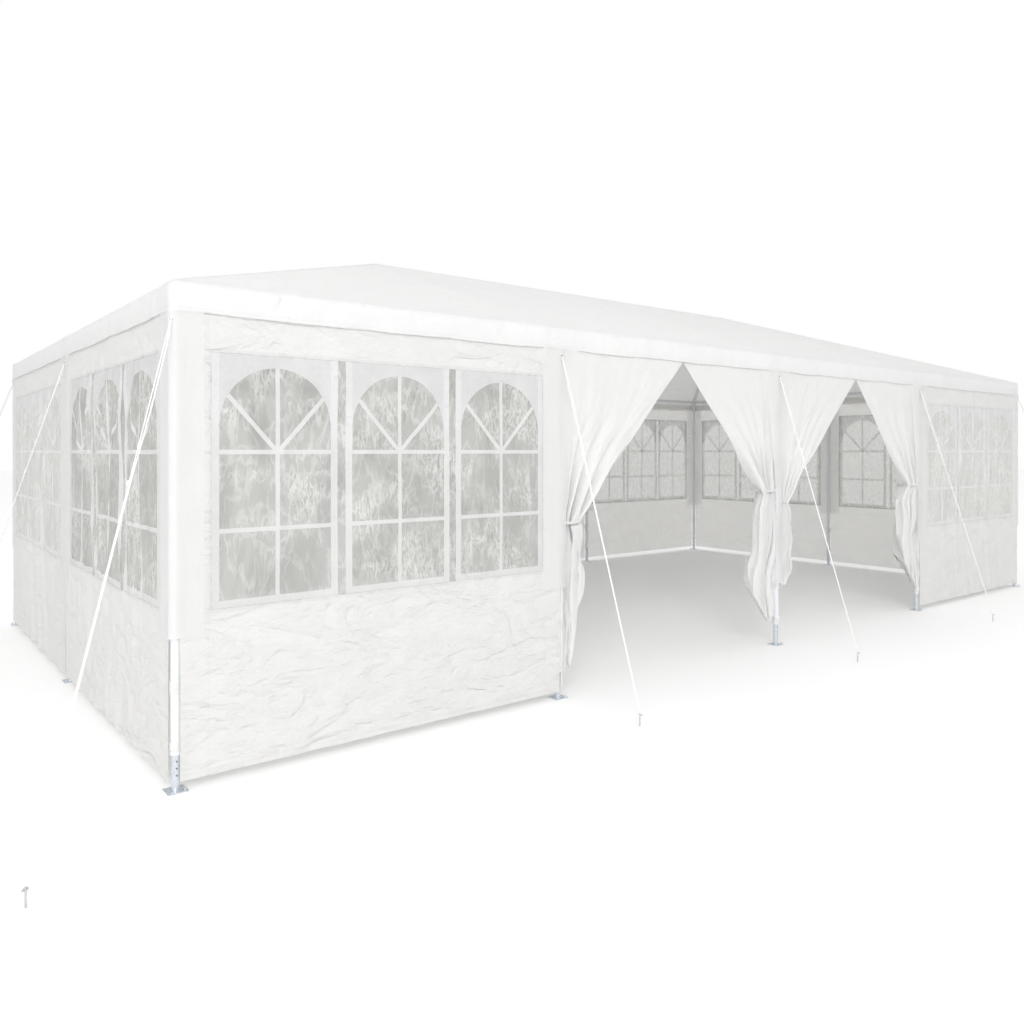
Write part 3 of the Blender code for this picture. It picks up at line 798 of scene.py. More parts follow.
@dataclass
class ArchedWindow:
    """The white print of one window: a frame, bars and a round arch with milky corners above it."""

    middle: float
    half_width: float = 0.2775
    glass_half: float = 0.245
    bottom: float = STRIP_BOTTOM
    sill: float = 0.73
    spring: float = 1.435
    top: float = STRIP_TOP
    bar: float = 0.0095
    cross_bars: tuple[float, float] = (1.01, 1.33)
    ray_reach: float = 0.21
    step: float = 0.012

    def strip(self, start: tuple[float, float], end: tuple[float, float], half: float) -> np.ndarray:
        """A straight bar between two places, as rows x 3 columns x 2.

        Args:
            start: Its first end, as distance along the wall and height.
            end: Its other end.
            half: Half its width.

        Returns:
            The grid of its places.
        """
        first, last = np.array(start), np.array(end)
        along = last - first
        length = float(np.hypot(*along))
        across = np.array((along[1], -along[0])) / length
        share = np.linspace(0.0, 1.0, max(2, round(length / self.step) + 1))[:, None, None]
        offset = np.array((-half, 0.0, half))[None, :, None]
        return first + share * along + offset * across

    def bars(self) -> list[np.ndarray]:
        """Frame sides, sill, glazing bars and rays, each as a grid of places on the wall."""
        edge = (self.half_width + self.glass_half) / 2
        half_edge = (self.half_width - self.glass_half) / 2
        arch_top = self.spring + self.glass_half
        low = self.middle - edge
        high = self.middle + edge
        sill = (self.bottom + self.sill) / 2
        ray_end = self.spring + math.sqrt(self.glass_half**2 - self.ray_reach**2)
        return [
            self.strip((low, self.bottom), (low, self.top), half_edge),
            self.strip((high, self.bottom), (high, self.top), half_edge),
            self.strip((self.middle - self.glass_half, sill), (self.middle + self.glass_half, sill), self.sill - sill),
            self.strip((self.middle, self.sill), (self.middle, arch_top), self.bar),
            *(
                self.strip((self.middle - self.glass_half, z), (self.middle + self.glass_half, z), self.bar)
                for z in self.cross_bars
            ),
            *(
                self.strip((self.middle, self.cross_bars[1]), (self.middle + reach, ray_end), self.bar)
                for reach in (-self.ray_reach, self.ray_reach)
            ),
        ]

    def arch(self, inner: float, outer: float | None, columns: int) -> np.ndarray:
        """A band round the arch, from its inner radius to an outer one, or out to the frame's edge.

        Args:
            inner: The band's inner radius.
            outer: Its outer radius, or None for the frame's edge.
            columns: How many points it has from inner to outer.

        Returns:
            The grid of its places.
        """
        corner = math.atan2(self.top - self.spring, self.half_width)
        angles = np.unique(np.concatenate((np.linspace(0, corner, 18), np.linspace(corner, math.pi - corner, 32), np.linspace(math.pi - corner, math.pi, 18))))
        ray = np.stack((np.cos(angles), np.sin(angles)), axis=-1)[:, None, :]
        wide = self.half_width / np.maximum(np.abs(ray[..., 0]), 1e-6)
        tall = (self.top - self.spring) / np.maximum(ray[..., 1], 1e-6)
        reach = np.minimum(wide, tall) if outer is None else np.full_like(wide, outer)
        share = np.linspace(0.0, 1.0, columns)[None, :]
        radius = inner + share * (reach - inner)
        return np.array((self.middle, self.spring)) + ray * radius[..., None]


@dataclass
class WindowWall:
    """One bay of wall: the sheet with its hems, the clear strip, and three printed windows."""

    side: Side
    bay: int
    finishes: Finishes
    slack: float = 0.005
    seed: int = 1
    thickness: float = 0.0012
    film_thickness: float = 0.0006
    film_depth: float = 0.0022
    leg_gap: float = 0.006
    low_gap: float = 0.011
    fold_width: float = 0.4
    fold_height: float = 1.4
    fine_fold: float = 0.0011
    columns: tuple[int, int] = (7, 90)
    rows: tuple[int, int, int] = (40, 56, 12)
    window_middles: tuple[float, float, float] = (0.4075, 1.0, 1.5925)
    hazy: bool = False

    def __post_init__(self) -> None:
        """Sets where the bay starts and what its pieces are called."""
        self.start = self.side.start(self.bay)
        self.tag = f"{self.side.title}_{self.bay}"

    def billow(self, x: np.ndarray, z: np.ndarray) -> np.ndarray:
        """How far the sheet stands out or in between the legs, by place in the bay."""
        from_leg = np.minimum(x, BAY - x)
        free = ease(from_leg, STRIP_MARGIN, 0.5) * ease(WALL_TOP - z, 0.07, 0.35)
        folds = Ripple(self.seed, self.fold_width, self.fold_height)(x, z)
        small = Ripple(self.seed + 50, self.fold_width * 0.35, 0.5, waves=3)(x, z)
        fine = Ripple(self.seed + 90, 0.21, 0.085)(x, z)
        return self.slack * free * (folds + 0.25 * small) + self.fine_fold * free * fine

    def at(self, x: np.ndarray, z: np.ndarray, out: float) -> np.ndarray:
        """Places of the sheet in the tent's frame.

        Args:
            x: Distance into the bay.
            z: Height.
            out: How far this layer lies outside the leg line where the wall is flat.

        Returns:
            The points.
        """
        return self.side.place(self.start + x, out + self.billow(x, z), z)

    def sheet(self) -> bpy.types.Object:
        """The woven sheet with the window strip cut out of it."""
        margin, middle = self.columns
        skirt, strip, band = self.rows
        xs = np.concatenate((
            np.linspace(self.leg_gap, STRIP_MARGIN, margin + 1),
            np.linspace(STRIP_MARGIN, BAY - STRIP_MARGIN, middle + 1)[1:-1],
            np.linspace(BAY - STRIP_MARGIN, BAY - self.leg_gap, margin + 1),
        ))
        zs = np.concatenate((
            np.linspace(WALL_BOTTOM, STRIP_BOTTOM, skirt + 1),
            np.linspace(STRIP_BOTTOM, STRIP_TOP, strip + 1)[1:-1],
            np.linspace(STRIP_TOP, WALL_TOP, band + 1),
        ))
        x, z = np.meshgrid(xs, zs)
        drawn_back = (self.low_gap - self.leg_gap) * (1 - ease(z, 0.45, 0.7))
        near = np.clip(1 - (np.minimum(x, BAY - x) - self.leg_gap) / (STRIP_MARGIN - self.leg_gap), 0, 1)
        hung = x + np.where(x < BAY / 2, 1, -1) * drawn_back * near
        sheet = cloth_grid(self.at(hung, z, WALL_OUT), np.stack((x, z), axis=-1))
        select_only(sheet)
        bpy.ops.object.mode_set(mode="EDIT")
        bpy.ops.mesh.select_mode(type="FACE")
        cloth = bmesh.from_edit_mesh(sheet.data)
        flat = cloth.loops.layers.uv.active
        for face in cloth.faces:
            places = [loop[flat].uv for loop in face.loops]
            across = sum(p[0] for p in places) / 4
            up = sum(p[1] for p in places) / 4
            inside = STRIP_MARGIN < across < BAY - STRIP_MARGIN and STRIP_BOTTOM < up < STRIP_TOP
            face.select_set(inside)
        bmesh.update_edit_mesh(sheet.data)
        bpy.ops.mesh.delete(type="FACE")
        bpy.ops.object.mode_set(mode="OBJECT")
        thicken(sheet, self.thickness)
        return finish_piece(sheet, f"wall_sheet_{self.tag}", [self.finishes.wall])

    def film(self) -> bpy.types.Object:
        """The clear strip behind the sheet's opening."""
        overlap = 0.012
        xs = np.linspace(STRIP_MARGIN - overlap, BAY - STRIP_MARGIN + overlap, 125)
        zs = np.linspace(STRIP_BOTTOM - overlap, STRIP_TOP + overlap, 59)
        x, z = np.meshgrid(xs, zs)
        film = cloth_grid(self.at(x, z, WALL_OUT - self.film_depth), np.stack((x, z), axis=-1))
        thicken(film, self.film_thickness)
        material = self.finishes.hazy_film if self.hazy else self.finishes.film
        return finish_piece(film, f"window_film_clear_{self.tag}", [material])

    def layer(self, grids: list[np.ndarray], lift: float) -> list[bpy.types.Object]:
        """Lays printed strips on the film.

        Args:
            grids: Their places on the wall.
            lift: How far they stand out from the film.

        Returns:
            One object for each strip.
        """
        layers = []
        for number, grid in enumerate(grids):
            x, z = grid[..., 0], grid[..., 1]
            out = WALL_OUT - self.film_depth + lift + 0.00002 * number
            layers.append(cloth_grid(self.at(x, z, out), grid))
        return layers

    def print(self) -> bpy.types.Object:
        """The printed frames, bars and arches of the three windows, as one thin piece."""
        solid, milky = [], []
        for middle in self.window_middles:
            window = ArchedWindow(middle)
            solid += self.layer(window.bars(), 0.0013)
            milky += self.layer([window.arch(window.glass_half, None, 11)], 0.0011)
        for strip in solid:
            strip.data.materials.append(self.finishes.bars)
        for strip in milky:
            strip.data.materials.append(self.finishes.corners)
        printed = join([*solid, *milky])
        self.face_outwards(printed)
        thicken(printed, 0.0002)
        return finish_piece(printed, f"window_print_{self.tag}", [])

    def face_outwards(self, piece: bpy.types.Object) -> None:
        """Turns the faces that look into the tent, so that all of them look out."""
        turn = self.side.value[0]
        away = Vector((math.sin(turn), -math.cos(turn), 0.0))
        select_only(piece)
        bpy.ops.object.mode_set(mode="EDIT")
        cloth = bmesh.from_edit_mesh(piece.data)
        for face in cloth.faces:
            face.select_set(face.normal.dot(away) < 0)
        bmesh.update_edit_mesh(piece.data)
        bpy.ops.mesh.flip_normals()
        bpy.ops.object.mode_set(mode="OBJECT")

    def build(self) -> None:
        """Builds the wall's pieces and hides the imported nodes that they replace."""
        sheet, film, printed = self.sheet(), self.film(), self.print()
        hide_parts(f"wall_{self.tag}")
        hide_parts(f"window_film_{self.tag}")


@dataclass(frozen=True)
class Drape:
    """How one curtain hangs, by distances from its leg and heights."""

    tie: float
    waist: float
    shoulder: tuple[float, float]
    hip: tuple[float, float]
    tip: tuple[float, float]
    leg_end: float
    seed: int
    beside_leg: float = 0.025


@dataclass
class DoorCurtain:
    """Half of a parted doorway sheet, drawn from the middle of its bay to the leg and tied there."""

    name: str
    leg_x: float
    reach: int
    drape: Drape
    finishes: Finishes
    cut: tuple[float, float] = (1.0, 1.86)
    top: float = 1.93
    apex: float = 1.875
    middle: float = 0.997
    thickness: float = 0.0012
    pleats: float = 4.3
    across: int = 140
    drawn_rows: int = 60
    bundle_rows: int = 44
    turned_rows: int = 16
    turn_depth: float = 0.03
    leg_edge: float = 0.006
    lead: float = 0.035
    press: float = 1.9
    back: float = 0.1
    front: float = 0.047

    def gather(self, s: np.ndarray, room: np.ndarray, formed: np.ndarray) -> tuple[np.ndarray, np.ndarray]:
        """Lays the width of the cloth in rounded folds that wind as a river does.

        Args:
            s: Place across the cloth from 0 to 1, as one row.
            room: The width that the cloth has at each row.
            formed: How far its folds have formed at each row, from 0 to 1.

        Returns:
            The place across the room from 0 to 1, and the depth of the folds in metres.
        """
        dice = np.random.default_rng(self.drape.seed)
        bends = np.linspace(0.0, 2.22, 60)
        rounds = np.linspace(0.0, math.tau, 200)
        shorter = np.array([np.cos(bend * np.sin(rounds)).mean() for bend in bends])
        share = np.maximum(room / self.cut[0] - self.lead, 0.0) / (1 - self.lead)
        bend = np.interp(-share, -shorter, bends) * formed
        phase = self.pleats * s + 0.3 * np.sin(4.0 * s + dice.uniform(0, 6)) + 0.14 * np.sin(9.0 * s + dice.uniform(0, 6))
        phase = phase - np.interp(self.lead, s, phase)
        wander = 0.15 * np.sin(np.linspace(0, 5.0, len(room))[:, None] + 6.0 * s[None, :])
        turn = -bend[:, None] * np.sin(math.tau * (phase[None, :] + wander)) * ease(s, self.lead - 0.02, self.lead + 0.01)
        along = np.cumsum(np.cos(turn), axis=1)
        deep = np.cumsum(np.sin(turn), axis=1) * self.cut[0] / (len(s) - 1)
        along = (along - along[:, :1]) / (along[:, -1:] - along[:, :1])
        deep = deep - deep[:, :1] - (deep[:, -1:] - deep[:, :1]) * s[None, :]
        top = deep.max(axis=1, keepdims=True)
        depth = np.maximum(top - deep.min(axis=1, keepdims=True), 1e-6)
        return along, top - depth * ((top - deep) / depth) ** self.press

    def outermost(self, x: np.ndarray, z: np.ndarray) -> np.ndarray:
        """How far out the cloth may stand: under the leg's cover near the leg, and freely beyond it."""
        cover = 0.035 + 0.089 * ease(z, 0.95, 1.84)
        return 0.0255 + (self.front - 0.0255) * ease(x, cover + 0.004, cover + 0.04)

    def stand(self, x: np.ndarray, z: np.ndarray, out: np.ndarray) -> np.ndarray:
        """Keeps the cloth between the leg's tube and the leg's cover."""
        innermost = 0.0245 - self.back * ease(x, 0.0215, 0.034)
        return np.maximum(np.minimum(out, self.outermost(x, z)), innermost)

    def drawn(self, s: np.ndarray) -> tuple[np.ndarray, np.ndarray, np.ndarray]:
        """The part above the tie, as distance from the leg, height and distance outwards."""
        drape = self.drape
        q = np.linspace(0.0, 1.0, self.drawn_rows)
        rim = (self.top - self.apex) / (self.top - drape.tie)
        run = np.clip((q - rim) / (1 - rim), 0, 1)
        low = self.leg_edge + (self.drape.beside_leg - self.leg_edge) * ease(run, 0.5, 1.0)
        high = self.middle + (drape.waist - self.middle) * run
        along, deep = self.gather(s, high - low, 0.05 + 0.95 * run**3.1)
        x = low[:, None] + (high - low)[:, None] * along
        z = np.broadcast_to((self.top - (self.top - drape.tie) * q)[:, None], x.shape)
        pinch = 1 - 0.30 * np.exp(-(((1 - q) * (self.top - drape.tie) / 0.035) ** 2))
        deep = deep * (pinch * ease(run, 0.0, 0.25))[:, None]
        reach = WALL_OUT + (self.front - 0.008 * (1 - pinch) / 0.30 - WALL_OUT) * ease(run, 0.15, 0.95)
        out = reach[:, None] - deep.max(axis=1, keepdims=True) + deep
        soft = 1 + Ripple(self.drape.seed, 0.3, 0.7)(np.broadcast_to(s[None, :], x.shape), z)
        crinkled = Ripple(self.drape.seed + 20, 0.11, 0.16, waves=3)(np.broadcast_to(s[None, :], x.shape), z)
        out = out - (np.sin(math.pi * run) ** 0.7)[:, None] * (0.006 * soft + 0.0016 * crinkled)
        return x, z, out

    def bundle(self, s: np.ndarray) -> tuple[np.ndarray, np.ndarray, np.ndarray]:
        """The part below the tie: down to its lower edge, and what is left of the cut turned up inside."""
        drape = self.drape
        q = np.linspace(0.0, 1.0, self.bundle_rows)[1:]
        (tip_x, tip_z), (hip_x, hip_z) = drape.tip, drape.hip
        drop = drape.tie - hip_z
        shoulder_at = (drape.tie - drape.shoulder[1]) / drop
        falls = (0.0, shoulder_at * 0.5, shoulder_at, 0.6, 1.0)
        edges = (
            drape.waist, 0.4 * drape.waist + 0.6 * drape.shoulder[0], drape.shoulder[0],
            (drape.shoulder[0] + drape.hip[0]) / 2 + 0.008, drape.hip[0],
        )
        room = np.interp(q * (drape.tie - (tip_z + hip_z) / 2) / drop, falls, edges) - self.drape.beside_leg
        along, deep = self.gather(s, room, np.ones_like(q))
        rise = (hip_z - tip_z) / (hip_x - tip_x)
        end = drape.beside_leg + (hip_x - drape.beside_leg) * along[-1] + 0.56 * (deep[-1].max() - deep[-1])
        hem = np.interp(
            end, (drape.beside_leg, tip_x, hip_x, hip_x + 0.1), (drape.leg_end, tip_z, hip_z, hip_z + 0.1 * rise)
        )
        z = drape.tie + (hem[None, :] - drape.tie) * q[:, None]
        edge = np.interp((drape.tie - z) / drop, falls, edges)
        x = self.drape.beside_leg + (edge - self.drape.beside_leg) * along
        pinch = 1 - 0.30 * np.exp(-((q * drop / 0.035) ** 2))
        shrink = 1 - 0.3 * ease(q, 0.1, 0.9)
        deep = deep * (pinch * shrink)[:, None]
        reach = self.front - 0.008 * (1 - pinch) / 0.30
        out = reach[:, None] - deep.max(axis=1, keepdims=True) + deep
        run_up = np.hypot(self.middle * s - drape.waist, self.top - drape.tie)
        spare = np.clip(self.cut[1] - run_up - (drape.tie - hem), 0.02, 0.4)
        turned = np.linspace(0.0, 1.0, self.turned_rows)[1:, None]
        inwards = out[-1] - (0.004 + self.turn_depth * ease(turned * spare, 0.0, 0.05))
        inwards = (1 - 0.5 * turned) * inwards + 0.5 * turned * (out[-1].mean() - self.turn_depth)
        up = hem + spare * turned - 0.006 * np.sin(math.pi * np.clip(turned * spare / 0.02, 0, 1))
        beside = np.broadcast_to(x[-1] * (1 - 0.1 * turned) + 0.1 * turned * x[-1].mean(), up.shape)
        return tuple(np.concatenate(pair) for pair in ((x, beside), (z, up), (out, inwards)))

    def build(self) -> None:
        """Builds the curtain and its tie."""
        s = np.linspace(0.0, 1.0, self.across)
        upper, lower = self.drawn(s), self.bundle(s)
        x, z, out = (np.concatenate((a, b), axis=0) for a, b in zip(upper, lower))
        out = self.stand(x, z, out)
        points = Side.FRONT.place(self.leg_x + self.reach * x, out, z)[::-1]
        steps = np.linalg.norm(np.diff(points, axis=0), axis=2)
        rows = np.concatenate((np.zeros((1, len(s))), np.cumsum(steps, axis=0)))
        rows = rows * self.cut[1] / rows[-1]
        flat = np.stack((np.broadcast_to(s[None, :] * self.cut[0], rows.shape), rows), axis=-1)
        if self.reach < 0:
            points = points[:, ::-1]
            flat = flat[:, ::-1]
        sheet = cloth_grid(points, flat)
        thicken(sheet, self.thickness, 80.0)
        finish_piece(sheet, f"{self.name}_sheet", [self.finishes.curtain])
        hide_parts(self.name)
        tie = self.tie()

    def tie(self) -> bpy.types.Object:
        """The strap round the leg and the gathered curtain."""
        drape = self.drape
        low, high = -0.0245, drape.waist + 0.007
        angle = np.linspace(0.0, math.tau, 65)
        x = (low + high) / 2 + (high - low) / 2 * np.cos(angle)
        round_ = np.abs(np.sin(angle)) ** 0.6
        front = np.minimum(0.0415 * round_, self.outermost(x, np.array(drape.tie)) + 0.0012)
        out = np.where(np.sin(angle) >= 0, front, -0.0255 * round_)
        heights = np.linspace(-0.008, 0.008, 5)[:, None]
        z = drape.tie + heights + 0.004 * np.sin(angle)
        points = Side.FRONT.place(self.leg_x + self.reach * x, out, z)
        if self.reach > 0:
            points = points[:, ::-1]
        flat = np.stack(np.broadcast_arrays(angle * 0.05, heights), axis=-1)
        strap = join([cloth_grid(points, flat)], weld=0.0001)
        thicken(strap, 0.0012)
        return finish_piece(strap, f"{self.name}_tie", [self.finishes.cover])


@dataclass(frozen=True)
class Leg:
    """Where a leg stands, which way its rope runs, and how its cover is cut."""

    name: str
    x: float
    y: float
    turn: float
    corner: bool = False
    left_wide: float = 0.124
    right_wide: float = 0.124
    left_narrow: float = 0.124
    right_narrow: float = 0.124
    narrow_at: float = 0.95
    cover_end: float = 0.6


@dataclass
class LegCover:
    """The strip of sheet round the outside of a leg, from the valance down."""

    leg: Leg
    finishes: Finishes
    top: float = 1.888
    bulge: float = 0.0035
    thickness: float = 0.001
    slot_z: float = 1.846

    def base(self, z: np.ndarray) -> np.ndarray:
        """How far outside the leg line the cover lies: over the wall, and over the valance at its top."""
        return 0.0272 + 0.0036 * ease(z, 1.80, 1.875)

    def section(self, run: np.ndarray, z: np.ndarray) -> tuple[np.ndarray, np.ndarray]:
        """Turns a distance round the leg into a place beside it.

        Args:
            run: Distance from the leg's outermost line, to the right as seen from outside.
            z: Height.

        Returns:
            Distance to the right of the leg and distance out, along the leg's outward direction.
        """
        base = self.base(z)
        ripple = 0.0016 * Ripple(int(100 + 3 * self.leg.x + 11 * self.leg.y), 0.09, 0.9)(run, z)
        ripple = ripple * ease(np.abs(run), 0.0, 0.03) * ease(1.84 - z, 0.0, 0.2)
        swell = self.bulge * np.exp(-((run / 0.03) ** 2)) + np.abs(ripple)
        if not self.leg.corner:
            return run, base + swell
        arc = base * math.pi / 4
        angle = np.clip(run / base, -math.pi / 4, math.pi / 4)
        beyond = np.maximum(np.abs(run) - arc, 0.0) * np.sign(run)
        far = base + swell
        right = far * np.sin(angle) + beyond * math.cos(math.pi / 4)
        out = far * np.cos(angle) - np.abs(beyond) * math.sin(math.pi / 4)
        return right, out

    def build(self) -> None:
        """Builds the cover and the small slot that the rope comes out of."""
        leg = self.leg
        heights = np.concatenate((np.linspace(leg.cover_end, 1.78, 60), np.linspace(1.79, self.top, 12)))[:, None]
        share = np.linspace(-1.0, 1.0, 37)[None, :]
        wide = ease(heights, leg.narrow_at, 1.84)
        left = leg.left_narrow + (leg.left_wide - leg.left_narrow) * wide
        right = leg.right_narrow + (leg.right_wide - leg.right_narrow) * wide
        run = np.where(share < 0, share * left, share * right)
        z = np.broadcast_to(heights, run.shape)
        side, out = self.section(run, z)
        cover = cloth_grid(self.place(side, out, z), np.stack((run, z), axis=-1))
        thicken(cover, self.thickness)
        finish_piece(cover, f"leg_cover_{leg.name}", [self.finishes.cover])
        slot = self.slot()

    def place(self, side: np.ndarray, out: np.ndarray, z: np.ndarray) -> np.ndarray:
        """Turns places beside the leg into places in the tent's frame."""
        cos, sin = math.cos(self.leg.turn), math.sin(self.leg.turn)
        side, out, z = np.broadcast_arrays(side, out, z)
        return np.stack((self.leg.x + side * cos + out * sin, self.leg.y + side * sin - out * cos, z), axis=-1)

    def slot(self) -> bpy.types.Object:
        """The slit with its sewn rim, and a near-black disc in its middle as painted shade of the hole."""
        angle = np.linspace(0.0, math.tau, 33)[None, :]
        rings = np.array((0.35, 1.0, 1.0, 1.5, 1.5))[:, None]
        lifts = np.array((0.0004, 0.0004, 0.0014, 0.0014, 0.0002))[:, None]
        side = 0.0035 * rings * np.cos(angle)
        z = self.slot_z + (0.007 + 0.0035 * (rings - 0.35)) * np.sin(angle) * np.minimum(rings, 1.3)
        out = self.base(np.array(self.slot_z)) + self.bulge + lifts + 0 * angle
        rim = cloth_grid(self.place(side, out, z)[:, ::-1], np.stack(np.broadcast_arrays(side, z), axis=-1))
        disc = self.place(side[:1], out[:1], z[:1])[0][:-1]
        rim = join([rim], weld=0.00005)
        select_only(rim)
        rim.data.materials.append(self.finishes.cover)
        rim.data.materials.append(self.finishes.slot)
        lining = bmesh.new()
        lining.from_mesh(rim.data)
        lining.verts.ensure_lookup_table()
        corners = []
        for place in disc:
            nearest = min(lining.verts, key=lambda v: (v.co - Vector(place)).length)
            corners.append(nearest)
        # The middle disc and the faces round it take the near-black material: painted shade of the hole.
        middle = lining.faces.new(corners)
        middle.material_index = 1
        for face in lining.faces:
            if all((v.co - middle.calc_center_median()).length < 0.0095 and min((v.co - c.co).length for c in corners) < 0.0045 for v in face.verts):
                face.material_index = 1
        bmesh.ops.recalc_face_normals(lining, faces=lining.faces)
        lining.to_mesh(rim.data)
        lining.free()
        return finish_piece(rim, f"rope_slot_{self.leg.name}", [])


@dataclass
class GuyRope:
    """A taut rope from a slot in the leg's cover to its peg, doubled down to a runner."""

    leg: Leg
    finishes: Finishes
    radius: float = 0.0024
    top: float = 1.876
    near: float = 0.02175
    peg_tie: float = 0.055
    peg_reach: float = 0.6
    runner_share: float = 0.36
    spread: float = 0.007

    def reach(self) -> float:
        """How far out the peg stands from the leg."""
        return self.peg_reach * (math.sqrt(2) if self.leg.corner else 1.0)

    def spot(self, share: float, side: float = 0.0) -> Vector:
        """A place on the rope's line, with share 0 at the leg and 1 at the peg."""
        out = self.near + share * (self.reach() - self.near)
        z = self.top + share * (self.peg_tie - self.top)
        cos, sin = math.cos(self.leg.turn), math.sin(self.leg.turn)
        return Vector((self.leg.x + side * cos + out * sin, self.leg.y + side * sin - out * cos, z))

    def strand(self, places: list[Vector], radius: float) -> bpy.types.Object:
        """A round cord through a row of places.

        Args:
            places: The points of its centreline.
            radius: The cord's radius.

        Returns:
            The closed tube, mapped along and round.
        """
        sides = 9
        points, run = [], 0.0
        runs = []
        for i, spot in enumerate(places):
            ahead = places[min(i + 1, len(places) - 1)] - places[max(i - 1, 0)]
            along = ahead.normalized()
            across = along.cross(Vector((0, 0, 1))).normalized()
            lift = across.cross(along).normalized()
            ring = [spot + radius * (math.cos(a) * across + math.sin(a) * lift) for a in np.linspace(0, math.tau, sides)]
            points.append([tuple(p) for p in ring])
            run += (spot - places[i - 1]).length if i else 0.0
            runs.append(run)
        flat = np.stack(np.meshgrid(np.array(runs), np.linspace(0, 1, sides), indexing="ij"), axis=-1)
        cord = join([cloth_grid(np.array(points), flat)], weld=0.00005)
        select_only(cord)
        bpy.ops.object.mode_set(mode="EDIT")
        bpy.ops.mesh.select_all(action="SELECT")
        bpy.ops.mesh.fill_holes(sides=sides + 2)
        bpy.ops.mesh.normals_make_consistent(inside=False)
        bpy.ops.object.mode_set(mode="OBJECT")
        bpy.ops.object.shade_smooth_by_angle(angle=math.radians(70))
        return cord

    def peg(self) -> bpy.types.Object:
        """A bent steel peg with its hook over the rope's eye."""
        foot = self.spot(1.0)
        clear_selection()
        bpy.ops.mesh.primitive_circle_add(vertices=12, radius=0.0035, location=(foot.x, foot.y, 0.0), fill_type="NGON")
        peg = bpy.context.object
        bpy.ops.object.mode_set(mode="EDIT")
        bpy.ops.mesh.select_all(action="SELECT")
        bpy.ops.mesh.extrude_region_move(TRANSFORM_OT_translate={"value": (0.0, 0.0, 0.062)})
        cos, sin = math.cos(self.leg.turn), math.sin(self.leg.turn)
        inwards = Vector((-sin, cos, 0.0))
        centre = Vector((foot.x, foot.y, 0.062)) + inwards * -0.008
        axis = inwards.cross(Vector((0, 0, 1)))
        bpy.ops.mesh.spin(steps=10, angle=math.radians(150), center=centre, axis=axis)
        bpy.ops.mesh.select_all(action="SELECT")
        bpy.ops.mesh.remove_doubles(threshold=0.00002)
        bpy.ops.mesh.normals_make_consistent(inside=False)
        bpy.ops.object.mode_set(mode="OBJECT")
        bpy.ops.object.shade_smooth_by_angle(angle=math.radians(50))
        bpy.ops.object.transform_apply(location=True, rotation=True, scale=True)
        return peg

    def runner(self) -> bpy.types.Object:
        """The small plastic block that takes up the rope's slack."""
        spot = self.spot(self.runner_share)
        clear_selection()
        bpy.ops.mesh.primitive_cube_add(size=1.0, location=(0.0, 0.0, 0.0))
        runner = bpy.context.object
        runner.scale = (0.016, 0.009, 0.02)
        bpy.ops.object.transform_apply(location=False, rotation=False, scale=True)
        apply_modifier(runner, "BEVEL", width=0.003, segments=3)
        slant = math.atan2(self.reach() - self.near, self.top - self.peg_tie)
        runner.rotation_euler = (-slant, 0.0, self.leg.turn)
        runner.location = spot
        select_only(runner)
        bpy.ops.object.transform_apply(location=True, rotation=True, scale=True)
        bpy.ops.object.shade_smooth_by_angle(angle=math.radians(45))
        return runner

    def build(self) -> None:
        """Builds the rope, its runner and its peg."""
        main = [self.spot(t, 0.0) for t in np.linspace(0.0, 1.0, 40)]
        eye = self.spot(1.0)
        loops = [self.strand(main, self.radius)]
        second = []
        for share in np.linspace(0.0, 1.0, 60):
            apart = max(0.0, math.sin(math.pi * min(1.0, 0.12 + 0.88 * share / self.runner_share)))
            second.append(self.spot(share, 2 * self.radius * min(1.0, 12 * share, 12 * (1 - share)) + self.spread * apart * min(1.0, 20 * share)))
        loops.append(self.strand(second, self.radius))
        clear_selection()
        bpy.ops.mesh.primitive_torus_add(
            location=eye, rotation=(math.radians(20), 0.0, self.leg.turn), major_segments=16, minor_segments=8,
            major_radius=0.0065, minor_radius=self.radius,
        )
        ring = bpy.context.object
        bpy.ops.object.transform_apply(location=True, rotation=True, scale=True)
        bpy.ops.object.shade_smooth()
        ring.data.uv_layers.active.name = FLAT_MAP
        rope = join([*loops, ring])
        finish_piece(rope, f"guy_rope_cord_{self.leg.name}", [self.finishes.cord])
        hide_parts(f"guy_rope_{self.leg.name}")
        finish_piece(self.peg(), f"tent_peg_{self.leg.name}", [self.finishes.steel])
        finish_piece(self.runner(), f"rope_runner_{self.leg.name}", [self.finishes.plastic])


